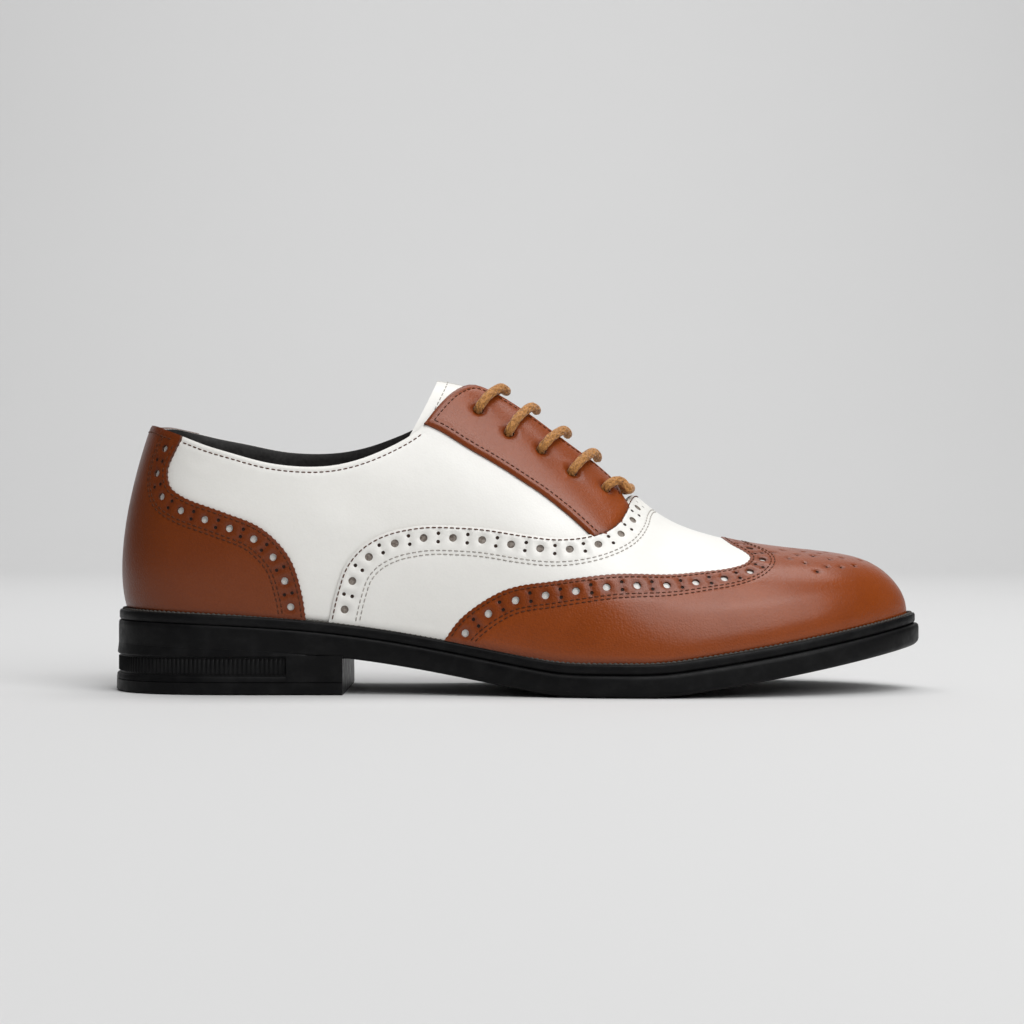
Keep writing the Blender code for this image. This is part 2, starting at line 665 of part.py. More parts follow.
def make_tongue(material, collection):
    """A sheet under the facings, from beneath the vamp up past the collar."""
    edge = np.array(TONGUE_EDGE)[::-1]
    crowns = np.linspace(edge[-1, 0], edge[0, 0], TONGUE_ROWS)
    edges = np.interp(crowns, edge[:, 0], edge[:, 1])
    across = np.linspace(-1, 1, TONGUE_COLUMNS)
    climb = (edge[-1, 0] - crowns) / (edge[-1, 0] - edge[0, 0])
    stations = crowns[:, None] - TONGUE_LEAN * climb[:, None] ** 2 * across ** 2
    walls = 1 - (1 - edges[:, None]) * np.abs(across)
    depth = UPPER_WALL + TONGUE_CLEARANCE
    sides = np.where(across <= 0, LATERAL, MEDIAL)
    places = on_last(sides, stations, walls, -depth, closed=True)
    middle = TONGUE_COLUMNS // 2
    both = on_last(MEDIAL, stations[:, middle], walls[:, middle], -depth, closed=True)
    places[:, middle] = (places[:, middle] + both) / 2
    shape = bmesh.new()
    verts = [[shape.verts.new(place) for place in row] for row in places]
    for upper_row, lower_row in zip(verts[1:], verts):
        for k in range(TONGUE_COLUMNS - 1):
            shape.faces.new((lower_row[k], upper_row[k], upper_row[k + 1], lower_row[k + 1]))
    bmesh.ops.recalc_face_normals(shape, faces=shape.faces[:])
    if sum(face.normal.z for face in shape.faces) < 0:
        bmesh.ops.reverse_faces(shape, faces=shape.faces[:])
    item = new_object("tongue", finish_mesh(shape, "tongue"), material, collection)
    shell = item.modifiers.new("Leather", "SOLIDIFY")
    shell.thickness = TONGUE_WALL
    shell.offset = -1
    shell.use_even_offset = True


def make_insole(material, collection):
    """The board that the foot stands on, inside the upper."""
    inset = WELT_MARGIN * read("margin", STATION_LINES) + UPPER_WALL + INSOLE_CLEARANCE
    foot = BED + SEAM_GAP
    levels = [ring(STATION_LINES, inset, foot), ring(STATION_LINES, inset, foot + INSOLE_THICKNESS)]
    sole_piece("insole", levels, True, material, collection)


def heel_taper(stations):
    """How far the sole's edge leans in over the heel's foot."""
    return HEEL_FLARE * (1 - read("fore", stations))


def welt_inner_inset():
    """How far the welt's inner edge lies inside the outsole's edge."""
    return WELT_MARGIN * read("margin", STATION_LINES) + UPPER_WALL + WELT_LEDGE


def make_welt(material, collection):
    """The strip between the upper and the outsole."""
    inner = welt_inner_inset()
    setback = HEEL_SETBACK + (WELT_SETBACK - HEEL_SETBACK) * read("fore", STATION_LINES)
    outer = heel_taper(STATION_LINES) + setback
    levels = [ring(STATION_LINES, outer, WELT_FOOT), ring(STATION_LINES, outer, BED),
              ring(STATION_LINES, inner, BED), ring(STATION_LINES, inner, WELT_FOOT)]
    sole_piece("welt", levels, False, material, collection)


def make_outsole(material, collection):
    """The long sole, with a raised bed inside the welt."""
    edge = OUTSOLE_EDGE_ROUND * read("fore", STATION_LINES)
    side = heel_taper(STATION_LINES)
    bed_inset = welt_inner_inset() + SEAM_GAP
    top = OUTSOLE_THICKNESS
    profile = ((side + edge, 0), (side, edge), (side, top - edge), (side + edge, top),
               (bed_inset, OUTSOLE_THICKNESS), (bed_inset, BED))
    levels = [ring(STATION_LINES, inset, height) for inset, height in profile]
    sole_piece("outsole", levels, True, material, collection)


def heel_outline_lengths(stations):
    """Length along the sole's edge from the back of the heel, at each station."""
    x, y = sole_outline(LATERAL, stations, 0)
    return np.concatenate(((0,), np.cumsum(np.hypot(np.diff(x), np.diff(y)))))


def rib_stations(last_station):
    """Stations half a rib apart along the sole's edge, up to the band's end."""
    fine = np.linspace(0, last_station, FINE_STEPS)
    lengths = heel_outline_lengths(fine)
    ribs = round(lengths[-1] / RIB_PITCH)
    return np.interp(np.linspace(0, lengths[-1], 2 * ribs + 1), lengths, fine)


def make_heel(material, collection, cutters):
    """The heel block, with a sunk band of upright ribs round its back."""
    breast = float(station_at(HEEL_LENGTH - SOLE_LENGTH / 2))
    stations = np.array([s for s in STATION_LINES if s < breast - 0.1] + [breast])
    levels = [level_ring(stations, HEEL_EDGE_ROUND, 0), level_ring(stations, 0, HEEL_EDGE_ROUND),
              ring(stations, heel_taper(stations), -SEAM_GAP)]
    heel = sole_piece("heel", levels, True, material, collection)

    band_end = float(station_at(HEEL_LENGTH - BAND_TO_BREAST - SOLE_LENGTH / 2))
    ribs = rib_stations(band_end)
    valley = np.arange(len(ribs)) % 2 == 0
    floor = HEEL_FLARE / 2 + BAND_DEPTH - np.where(valley, 0, RIB_DEPTH)
    wide = np.array([s for s in STATION_LINES if s < band_end] + [band_end])
    outlines = []
    for inset, row in ((floor, ribs), (-2 * BAND_DEPTH, wide)):
        there, back = level_ring(row, inset, 0)
        outlines.append(np.vstack((there[::-1], back[1:])))
    loop = np.vstack((outlines[0], outlines[1][::-1]))
    shape = bmesh.new()
    low = [shape.verts.new((p[0], p[1], BAND_BOTTOM)) for p in loop]
    high = [shape.verts.new((p[0], p[1], BAND_BOTTOM + BAND_HEIGHT)) for p in loop]
    shape.faces.new(low)
    shape.faces.new(high)
    for k in range(len(loop)):
        n = (k + 1) % len(loop)
        shape.faces.new((low[k], low[n], high[n], high[k]))
    bmesh.ops.recalc_face_normals(shape, faces=shape.faces[:])
    cutter = new_object("heel_band_cutter", finish_mesh(shape, "heel_band_cutter"), None, cutters)
    cutter.hide_render = True
    cutter.display_type = "WIRE"
    cut = heel.modifiers.new("Band", "BOOLEAN")
    cut.operation = "DIFFERENCE"
    cut.solver = "EXACT"
    cut.object = cutter


def curve_through(knots, count):
    """Even steps along a smooth curve through a few knots."""
    knots = np.asarray(knots)
    ends = np.vstack((2 * knots[0] - knots[1], knots, 2 * knots[-1] - knots[-2]))
    fine = []
    for a, b, c, d in zip(ends, ends[1:], ends[2:], ends[3:]):
        for t in np.linspace(0, 1, CURVE_STEPS, endpoint=False):
            fine.append(0.5 * (2 * b + (c - a) * t + (2 * a - 5 * b + 4 * c - d) * t * t
                               + (3 * b - a - 3 * c + d) * t ** 3))
    fine = np.array(fine + [knots[-1]])
    lengths = np.concatenate(((0,), np.cumsum(np.linalg.norm(np.diff(fine, axis=0), axis=1))))
    steps = np.linspace(0, lengths[-1], count)
    return np.stack([np.interp(steps, lengths, fine[:, axis]) for axis in range(3)], axis=1)


def lace_knots(side, eyelet):
    """Knots of half a lace bar, from inside its eyelet to the ridge."""
    ride = OVERLAY_TOP + LACE_CLEARANCE + LACE_DIAMETER / 2
    knots = [on_last(side, eyelet.station, eyelet.wall, -UPPER_WALL / 2)]
    line = topline(side)
    for knot in LACE_KNOTS:
        station = eyelet.station + LACE_LEAN * math.sin(knot.reach * math.pi / 4)
        edge = np.interp(station, line[:, 0], line[:, 1])
        wall = np.interp(knot.reach, (0, 1, 2), (eyelet.wall, edge, 1))
        knots.append(on_last(side, station, wall, ride * knot.height))
    return knots


def make_lace_bars(material, collection):
    """One straight run of lace across the throat for each pair of eyelets."""
    for number, eyelet in enumerate(EYELETS, 1):
        lateral = lace_knots(LATERAL, eyelet)
        medial = lace_knots(MEDIAL, eyelet)
        crown = (lateral[-1] + medial[-1]) / 2
        path = curve_through([*lateral[:-1], crown, *medial[-2::-1]], LACE_POINTS)
        name = f"lace_bar_{number}"
        curve = bpy.data.curves.new(name, "CURVE")
        curve.dimensions = "3D"
        curve.bevel_depth = LACE_DIAMETER / 2
        curve.bevel_resolution = 2
        curve.use_fill_caps = True
        spline = curve.splines.new("POLY")
        spline.points.add(len(path) - 1)
        for point, place in zip(spline.points, path):
            point.co = (*place, 1)
        spline.use_smooth = True
        new_object(name, curve, material, collection)


def main():
    for item in list(bpy.data.objects):
        bpy.data.objects.remove(item, do_unlink=True)
    shoe = bpy.data.collections.new("spectator_shoe")
    cutters = bpy.data.collections.new("cutters")
    for collection in (shoe, cutters):
        bpy.context.scene.collection.children.link(collection)
    white = material_of("white leather", (0.86, 0.85, 0.82), 0.45)
    tan = material_of("tan leather", (0.40, 0.14, 0.045), 0.32)
    edge = material_of("dark welt", (0.035, 0.030, 0.028), 0.50)
    rubber = material_of("black rubber", (0.020, 0.020, 0.021), 0.55)
    bed = material_of("insole leather", (0.30, 0.20, 0.12), 0.70)
    cord = material_of("golden brown lace", (0.42, 0.20, 0.05), 0.75)
    make_outsole(rubber, shoe)
    make_heel(rubber, shoe, cutters)
    make_welt(edge, shoe)
    make_insole(bed, shoe)
    make_upper(white, shoe)
    make_vamp(white, shoe)
    make_wing_cap(tan, shoe)
    make_heel_counter(tan, shoe)
    make_facings(tan, shoe)
    make_tongue(white, shoe)
    make_lace_bars(cord, shoe)


main()
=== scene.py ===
"""Spectator shoe for the right foot: its leathers, broguing, stitches, laces and sole.

Metres, +Z up, the toe along +X and the inner (medial) side of the foot along +Y. A place on the
last is a station, counted from the back of the heel to the tip of the toe, and a wall share, 0 at
the welt and 1 at the instep's ridge. A lift is a height over the last.
"""

import math
from collections import namedtuple

import bmesh
import bpy
import numpy as np
from bpy.props import FloatProperty, FloatVectorProperty, PointerProperty
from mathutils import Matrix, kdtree
from mathutils.geometry import delaunay_2d_cdt


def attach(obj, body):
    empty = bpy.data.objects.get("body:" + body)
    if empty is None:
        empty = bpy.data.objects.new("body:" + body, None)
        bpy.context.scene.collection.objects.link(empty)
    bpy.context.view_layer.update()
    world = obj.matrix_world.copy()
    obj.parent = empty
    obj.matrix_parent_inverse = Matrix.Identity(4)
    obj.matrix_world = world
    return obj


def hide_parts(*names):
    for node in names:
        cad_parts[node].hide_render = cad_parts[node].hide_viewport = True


bl_info = {
    "name": "Spectator Shoe",
    "version": (1, 0, 0),
    "blender": (4, 5, 0),
    "location": "3D View > Sidebar > Shoe",
    "description": "Makes the leathers, broguing, stitches, laces and sole of a spectator shoe",
    "category": "Object",
}

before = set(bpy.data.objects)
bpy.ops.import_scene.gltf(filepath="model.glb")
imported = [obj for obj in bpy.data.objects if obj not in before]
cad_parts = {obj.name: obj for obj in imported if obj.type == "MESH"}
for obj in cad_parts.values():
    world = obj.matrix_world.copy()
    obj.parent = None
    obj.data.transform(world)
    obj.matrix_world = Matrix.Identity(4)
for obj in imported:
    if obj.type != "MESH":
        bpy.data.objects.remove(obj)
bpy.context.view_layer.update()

# Sizes of the solids
SOLE_LENGTH = 0.302
BALL_WIDTH = 0.106
HEEL_WIDTH = 0.071
HEEL_LIFT = 0.0183
TOE_SPRING = 0.0174
LANDING = 0.0012
OUTSOLE_THICKNESS = 0.0081
WELT_THICKNESS = 0.0036
WELT_MARGIN = 0.0050
WELT_SETBACK = 0.0014
HEEL_SETBACK = 0.0003
HEEL_LENGTH = 0.0872
BREAST = HEEL_LENGTH - SOLE_LENGTH / 2
HEEL_FLARE = 0.0008
BAND_BOTTOM = 0.0068
BAND_HEIGHT = 0.0071
BAND_DEPTH = 0.0009
BAND_TO_BREAST = 0.0205
RIB_PITCH = 0.00165
RIB_DEPTH = 0.0005
INSTEP_RISE = 0.090
TOE_BOX_RISE = 0.0365
UPPER_WALL = 0.0022
SEAM_GAP = 0.0003
TONGUE_WALL = 0.0024
TONGUE_CLEARANCE = 0.0006
WELT_FOOT = OUTSOLE_THICKNESS + SEAM_GAP
BED = WELT_FOOT + WELT_THICKNESS
UPPER_FOOT = BED + SEAM_GAP

# One row for each station of the last, from the back of the heel to the tip of the toe.
# along: share of SOLE_LENGTH. lateral, medial: outline's half widths, shares of the local width,
# which goes from HEEL_WIDTH to BALL_WIDTH by fore. heel_up, toe_up: underside, shares of HEEL_LIFT
# and TOE_SPRING. instep, toe_box: rise of the ridge over the welt, shares of INSTEP_RISE and
# TOE_BOX_RISE. mouth, foot_out, top_out: how far the section's handles stand out, shares of its
# reach. foot_up, top_down: the handles' heights, shares of the rise. ridge: shift of the ridge to
# the inner side, share of BALL_WIDTH. margin: share of WELT_MARGIN.
Station = namedtuple("Station", "along lateral medial fore heel_up toe_up instep toe_box mouth "
                                "foot_out foot_up top_out top_down ridge margin")
STATIONS = (
    Station(.0000, .000, .000, .00, 1.00, .000, .972, .000, .47, .17, .17, .54, .44, .000, 1.08),
    Station(.0083, .197, .197, .00, 1.00, .000, .972, .000, .47, .17, .17, .54, .44, .000, 1.08),
    Station(.0331, .366, .359, .00, .995, .000, .976, .000, .52, .16, .18, .52, .44, .000, 1.02),
    Station(.0762, .472, .458, .00, .973, .000, .978, .000, .62, .15, .20, .42, .42, .000, .88),
    Station(.1325, .507, .486, .00, .934, .000, .989, .000, .70, .11, .24, .33, .40, .000, .76),
    Station(.1954, .510, .472, .00, .885, .000, 1.00, .000, .76, .08, .27, .28, .38, .005, .67),
    Station(.2616, .483, .423, .10, .798, .000, 1.016, .000, .74, .06, .30, .27, .36, .009, .63),
    Station(.3311, .448, .362, .30, .656, .000, 1.044, .000, .55, .05, .33, .30, .30, .019, .61),
    Station(.4007, .432, .321, .55, .460, .000, 1.106, .000, .25, .04, .38, .36, .16, .028, .64),
    Station(.4702, .439, .323, .80, .235, .000, 1.078, .000, .02, .03, .43, .40, .04, .038, .72),
    Station(.5364, .458, .358, 1.0, .033, .000, .958, .000, .00, .03, .45, .42, .00, .042, .84),
    Station(.6026, .495, .420, 1.0, -.072, -.060, .784, .000, .00, .03, .45, .44, .00, .042, .92),
    Station(.6689, .505, .472, 1.0, .000, .010, .560, .000, .00, .03, .46, .47, .00, .038, .98),
    Station(.7351, .486, .491, 1.0, .000, .175, .200, .630, .00, .04, .50, .52, .00, .033, 1.0),
    Station(.7980, .448, .472, 1.0, .000, .350, .000, .945, .00, .05, .54, .58, .00, .028, 1.0),
    Station(.8543, .394, .425, 1.0, .000, .525, .000, .817, .00, .06, .58, .63, .00, .024, 1.0),
    Station(.9040, .324, .352, 1.0, .000, .690, .000, .704, .00, .06, .60, .66, .00, .019, 1.05),
    Station(.9454, .239, .259, 1.0, .000, .828, .000, .565, .00, .05, .60, .66, .00, .011, 1.16),
    Station(.9785, .132, .142, 1.0, .000, .940, .000, .325, .00, .04, .60, .62, .00, .005, 1.24),
    Station(1.000, .000, .000, 1.0, .000, 1.00, .000, .000, .00, .04, .60, .60, .00, .000, 1.25),
)
TIP = len(STATIONS) - 1
# Columns that change sign past the heel's back or past the toe's tip
SIGN_AT_HEEL = {"lateral": -1, "medial": -1, "ridge": -1}
SIGN_AT_TOE = {"lateral": -1, "medial": -1, "ridge": -1, "toe_box": -1}
# Where the heel's sections turn about, in heel widths from the back
TURN_SHARE = 0.507
# How much of the ridge's shift the upper handle takes, and how much of its drop closed sections keep
HANDLE_SHIFT = 0.8
CLOSED_DROP = 0.3

# Seams on the last, each mark a station and a wall share
Mark = namedtuple("Mark", "station wall")
TopMark = namedtuple("TopMark", "station wall medial_rise")
# The topline round the collar and up the facing to the throat, the inner side a little higher
TOPLINE = (
    TopMark(0.00, .826, .000), TopMark(1.10, .826, .000), TopMark(2.12, .814, .010),
    TopMark(3.10, .780, .022), TopMark(4.16, .714, .045), TopMark(5.20, .651, .060),
    TopMark(6.16, .634, .065), TopMark(7.00, .664, .055), TopMark(7.66, .714, .038),
    TopMark(7.94, .786, .032), TopMark(8.30, .886, .026), TopMark(8.60, .940, .018),
    TopMark(8.90, .926, .020), TopMark(9.40, .890, .022), TopMark(10.2, .866, .020),
    TopMark(10.8, .870, .020), TopMark(11.14, .858, .014), TopMark(11.27, .790, .004),
    TopMark(11.36, .750, .000),
)
# The back edge of the vamp: up from the waist, along under the facing, round the throat
SWAN_SEAM = (
    Mark(6.14, .000), Mark(6.26, .130), Mark(6.44, .246), Mark(6.74, .318), Mark(7.12, .354),
    Mark(7.60, .362), Mark(8.50, .349), Mark(9.46, .354), Mark(10.18, .392), Mark(10.72, .455),
    Mark(11.06, .536), Mark(11.26, .640), Mark(11.36, .750), Mark(11.46, .870), Mark(11.56, 1.00),
)
# The back edge of the wing cap: up from the wing's end, to the peak on the ridge
WING_SEAM = (
    Mark(8.12, .000), Mark(8.38, .072), Mark(9.06, .168), Mark(10.0, .240), Mark(10.78, .302),
    Mark(11.98, .420), Mark(12.76, .490), Mark(13.24, .532), Mark(13.60, .590), Mark(13.74, .668),
    Mark(13.62, .740), Mark(13.40, .816), Mark(13.28, .910), Mark(13.26, 1.00),
)
# The front edge of the heel counter: up from the welt, back and up to the topline
COUNTER_SEAM = (
    Mark(5.74, .000), Mark(5.66, .126), Mark(5.44, .276), Mark(4.94, .398), Mark(4.22, .472),
    Mark(3.30, .550), Mark(2.90, .600), Mark(2.78, .660), Mark(2.90, .706), Mark(3.12, .764),
)
# The lower edge of an eyelet facing, from its back corner on the topline to the vamp
FACING_SEAM = (
    Mark(7.98, .694), Mark(8.58, .604), Mark(9.34, .540), Mark(9.90, .512), Mark(10.28, .486),
)
FACING_CORNER = 7.74
FACING_FOOT = 10.70
EYELETS = (
    Mark(8.66, .776), Mark(9.20, .700), Mark(9.78, .692), Mark(10.34, .676), Mark(10.96, .720),
)
# Widths of the eyelet holes through the upper and through the facing
UPPER_EYELET = 0.0046
FACING_EYELET = 0.0040
# The tongue's side edges, from its root under the vamp to its top
TONGUE_EDGE = (
    Mark(12.20, .800), Mark(11.30, .800), Mark(10.30, .740), Mark(9.20, .680), Mark(7.95, .600),
)
TONGUE_LEAN = 0.55
LACE_LEAN = 0.46
# Knots of half a lace bar. reach: 0 at its eyelet, 1 at the facing's edge, 2 at the ridge. height: a
# share of its ride over the last
LaceKnot = namedtuple("LaceKnot", "reach height")
LACE_KNOTS = (
    LaceKnot(0.00, 0.70), LaceKnot(0.26, 1.12), LaceKnot(0.62, 1.08), LaceKnot(1.00, 1.02),
    LaceKnot(1.45, 0.72), LaceKnot(2.00, 0.46),
)
LACE_RIDE = 0.0038

# Soft troughs and swellings that making and wear leave in the leather
Crease = namedtuple("Crease", "side depth width marks")
LATERAL = -1
MEDIAL = 1
CREASES = (
    Crease(LATERAL, .00022, .0016, ((3.30, .700), (3.75, .694), (4.25, .684))),
    Crease(LATERAL, .00018, .0014, ((3.36, .672), (3.70, .668), (4.05, .664))),
    Crease(LATERAL, .00030, .0060, ((5.90, .560), (6.50, .500), (7.30, .470))),
    Crease(LATERAL, .00030, .0050, ((11.7, .560), (12.1, .700), (12.3, .860))),
    Crease(LATERAL, .00024, .0040, ((12.3, .540), (12.6, .680), (12.7, .840))),
    Crease(MEDIAL, .00030, .0060, ((5.60, .540), (6.30, .480), (7.20, .450))),
    Crease(MEDIAL, .00034, .0050, ((11.6, .540), (12.0, .700), (12.3, .880))),
    Crease(MEDIAL, .00026, .0040, ((12.2, .520), (12.5, .680), (12.7, .860))),
)

# How far in from a seam lie its stitch rows and the middle of its broguing, and the size of its holes
Band = namedtuple("Band", "rows middle scale")
VAMP_BAND = Band((0.0011, 0.0095, 0.0109), 0.0047, 1.0)
WING_BAND = Band((0.0013, 0.0080, 0.0094), 0.0047, 0.97)
COUNTER_BAND = Band((0.0013, 0.0082, 0.0096), 0.0048, 0.92)
# Stitches that don't follow the chosen sizes
Stitch = namedtuple("Stitch", "radius pitch length")
WELT_STITCH = Stitch(0.00055, 0.0019, 0.0017)
TONGUE_STITCH = Stitch(0.00023, 0.0026, 0.0018)

# Lifts of the leathers' outer faces
VAMP_TOP = 0.0012
WING_SINK = 0.0008
WING_TOP = 0.0017
COUNTER_TOP = 0.0014
FACING_TOP = 0.0014

# The pattern's flat chart: about how long a station and the whole wall are
CHART = np.array((0.017, 0.085))
# Triangle size of the leathers, distance that welds two verts, distance in the chart that counts
# as none, and step in the chart that slopes are taken over
FINE = 0.0013
WELD = 0.00002
SAME_MARK = 0.0001
SLOPE_STEP = 0.002


# The last

def floats(*values):
    """Numbers or arrays as arrays of one shape."""
    return np.broadcast_arrays(*(np.asarray(value, dtype=float) for value in values))


def unit(vectors):
    """Vectors of length one."""
    return vectors / np.linalg.norm(vectors, axis=-1)[..., None]


def lengths_along(points):
    """Length from the first point to each one."""
    return np.concatenate(((0,), np.cumsum(np.linalg.norm(np.diff(points, axis=0), axis=1))))


def read(column, station, slope=False):
    """Read a column of the table at any station, as an even cubic spline."""
    values = np.array([getattr(row, column) for row in STATIONS])
    before = values[1] * SIGN_AT_HEEL.get(column, 1)
    after = values[-2] * SIGN_AT_TOE.get(column, 1)
    values = np.concatenate(((before,), values, (after,)))
    station = np.asarray(station, dtype=float)
    first = np.clip(np.floor(station).astype(int), 0, TIP - 1)
    f = station - first
    if slope:
        weights = (-(1 - f) ** 2 / 2, (3 * f * f - 4 * f) / 2, (1 + 2 * f - 3 * f * f) / 2, f * f / 2)
    else:
        weights = ((1 - f) ** 3 / 6, (3 * f ** 3 - 6 * f * f + 4) / 6,
                   (1 + 3 * f + 3 * f * f - 3 * f ** 3) / 6, f ** 3 / 6)
    return sum(weight * values[first + k] for k, weight in enumerate(weights))


ALONG_START = read("along", 0)
ALONG_SCALE = SOLE_LENGTH / (read("along", TIP) - ALONG_START)


def half_width(side, station):
    """Half width of the outsole on one side, and its slope by station."""
    local = HEEL_WIDTH + (BALL_WIDTH - HEEL_WIDTH) * read("fore", station)
    local_slope = (BALL_WIDTH - HEEL_WIDTH) * read("fore", station, slope=True)
    share = np.where(side < 0, read("lateral", station), read("medial", station))
    lateral_slope = read("lateral", station, slope=True)
    share_slope = np.where(side < 0, lateral_slope, read("medial", station, slope=True))
    return share * local, share_slope * local + share * local_slope


HALF_STATIONS = np.arange(0, 2 * TIP + 1) / 2
WIDEST_LATERAL = half_width(LATERAL, HALF_STATIONS)[0].max()
WIDEST_MEDIAL = half_width(MEDIAL, HALF_STATIONS)[0].max()
SIDE_SHIFT = (WIDEST_LATERAL - WIDEST_MEDIAL) / 2


def sole_outline(side, station, inset):
    """Plan of the outsole's edge, moved in by an inset."""
    side = np.asarray(side, dtype=float)
    along = (read("along", station) - ALONG_START) * ALONG_SCALE - SOLE_LENGTH / 2
    along_slope = read("along", station, slope=True) * ALONG_SCALE
    width, width_slope = half_width(side, station)
    length = np.hypot(along_slope, width_slope)
    x = along + inset * width_slope / length
    y = side * (width - inset * along_slope / length)
    return x, y + SIDE_SHIFT


FINE_STATIONS = np.linspace(0, TIP, 40 * TIP + 1)
FINE_ALONG = sole_outline(LATERAL, FINE_STATIONS, 0)[0]


def station_at(x):
    """The station of a place along the sole."""
    return np.interp(x, FINE_ALONG, FINE_STATIONS)


def underside(x):
    """Height of the tread over the floor, flat where it rests under the ball, with soft ends."""
    station = station_at(x)
    height = HEEL_LIFT * read("heel_up", station) + TOE_SPRING * read("toe_up", station)
    soft = np.clip(height + LANDING, 0, 2 * LANDING) ** 2 / (4 * LANDING)
    return np.where(height > LANDING, height, soft)


def last_point(side, station, wall, closed):
    """A point on the last. Closed sections run over the foot where the collar is open."""
    margin = WELT_MARGIN * read("margin", station)
    fx, fy = sole_outline(side, station, margin)
    other_x, _ = sole_outline(-np.asarray(side), station, margin)
    fy = fy - SIDE_SHIFT
    turn_centre = HEEL_WIDTH * TURN_SHARE - SOLE_LENGTH / 2
    cx = np.maximum(fx, turn_centre)
    ridge_x = (cx + np.maximum(other_x, turn_centre)) / 2 - cx
    reach = np.hypot(fx - cx, fy)
    out_x = np.where(reach > 0, (fx - cx) / np.maximum(reach, 1e-12), 0)
    out_y = np.where(reach > 0, fy / np.maximum(reach, 1e-12), 0)
    foot = underside(fx) + UPPER_FOOT
    ridge_foot = (underside(other_x) - underside(fx)) / 2
    rise = INSTEP_RISE * read("instep", station) + TOE_BOX_RISE * read("toe_box", station)
    ridge = BALL_WIDTH * read("ridge", station)
    mouth = read("mouth", station)
    shoulder = mouth + read("top_out", station)
    drop = read("top_down", station)
    if closed:
        mouth = mouth * 0
        drop = drop * CLOSED_DROP
    handles = (
        (1.0, 0, 0),
        (1.0 + read("foot_out", station), 0, read("foot_up", station)),
        (shoulder, HANDLE_SHIFT, 1 - drop),
        (mouth, 1, 1),
    )
    weights = ((1 - wall) ** 3, 3 * wall * (1 - wall) ** 2, 3 * wall ** 2 * (1 - wall), wall ** 3)
    x = y = z = 0
    for weight, (out, shift, up) in zip(weights, handles):
        x = x + weight * (cx + out_x * reach * out + ridge_x * shift)
        y = y + weight * (out_y * reach * out + ridge * shift)
        z = z + weight * (foot + rise * up + ridge_foot * shift)
    return np.stack(np.broadcast_arrays(x, y + SIDE_SHIFT, z), axis=-1)


def one_sided_frame(side, station, wall, closed):
    """A point on the last with its two tangents and its normal, as one side has them."""
    step = SLOPE_STEP
    ahead = np.minimum(station + step, TIP - step)
    behind = np.maximum(ahead - 2 * step, 0)
    above = np.minimum(wall + step, 1)
    below = np.maximum(above - 2 * step, 0)
    along = last_point(side, ahead, wall, closed) - last_point(side, behind, wall, closed)
    along = along / (ahead - behind)[..., None]
    up = last_point(side, station, above, closed) - last_point(side, station, below, closed)
    up = up / (above - below)[..., None]
    normal = np.cross(along, up) * -side[..., None]
    length = np.linalg.norm(normal, axis=-1)
    tip = (station > TIP - 4 * step) | (length < 1e-9)
    normal = np.where(tip[..., None], (1.0, 0, 0), normal / np.maximum(length, 1e-9)[..., None])
    return last_point(side, station, wall, closed), along, up, normal


def last_frame(side, station, wall, closed=False):
    """A point on the last with its two tangents and its outward normal, one normal at the ridge."""
    side, station, wall = floats(side, station, wall)
    point, along, up, normal = one_sided_frame(side, station, wall, closed)
    _, _, _, other = one_sided_frame(-side, station, wall, closed)
    both = normal + other
    both = both / np.maximum(np.linalg.norm(both, axis=-1), 1e-9)[..., None]
    on_ridge = (wall > 1 - SAME_MARK) & (read("mouth", station) < SLOPE_STEP)
    return point, along, up, np.where(on_ridge[..., None], both, normal)


def relief(side, station, wall):
    """How far creases and swellings move the leather in or out."""
    place = np.stack((station, wall), axis=-1) * CHART
    height = np.zeros(station.shape)
    for crease in CREASES:
        line = np.array(crease.marks) * CHART
        spans = np.linalg.norm(np.diff(line, axis=0), axis=1)
        whole = spans.sum()
        nearest = np.full(station.shape, 1.0)
        share = np.zeros(station.shape)
        run = 0.0
        for start, end, span in zip(line, line[1:], spans):
            t = ((place - start) @ (end - start)) / span ** 2
            t = np.clip(t, 0, 1)
            gap = np.linalg.norm(place - start - t[..., None] * (end - start), axis=-1)
            closer = gap < nearest
            nearest = np.where(closer, gap, nearest)
            share = np.where(closer, (run + t * span) / whole, share)
            run += span
        across = nearest / crease.width
        form = np.exp(-across ** 2) - 0.45 * np.exp(-(across - 1.9) ** 2)
        height -= np.where(side == crease.side, crease.depth * np.sin(math.pi * share) * form, 0)
    return height


def on_last(side, station, wall, lift, closed=False, worn=True):
    """A point at a lift over the last, with the leather's creases."""
    side, station, wall = floats(side, station, wall)
    point, _, _, normal = last_frame(side, station, wall, closed)
    lift = np.asarray(lift, dtype=float) + (relief(side, station, wall) if worn else 0)
    return point + normal * lift[..., None]


# Drawing on the last

def smooth_line(marks, step=0.0025):
    """Points along a centripetal curve through the marks."""
    knots = np.array([mark[:2] for mark in marks]) * CHART
    ends = np.vstack((2 * knots[0] - knots[1], knots, 2 * knots[-1] - knots[-2]))
    line = []
    for a, b, c, d in zip(ends, ends[1:], ends[2:], ends[3:]):
        t1 = np.linalg.norm(b - a) ** 0.5
        t2 = t1 + np.linalg.norm(c - b) ** 0.5
        t3 = t2 + np.linalg.norm(d - c) ** 0.5
        steps = max(1, round(np.linalg.norm(c - b) / step))
        for k in range(steps):
            t = t1 + (t2 - t1) * k / steps
            ab = a + (b - a) * t / t1
            bc = b + (c - b) * (t - t1) / (t2 - t1)
            cd = c + (d - c) * (t - t2) / (t3 - t2)
            abc = ab + (bc - ab) * t / t2
            bcd = bc + (cd - bc) * (t - t1) / (t3 - t1)
            line.append(abc + (bcd - abc) * (t - t1) / (t2 - t1))
    line.append(knots[-1])
    return np.array(line) / CHART


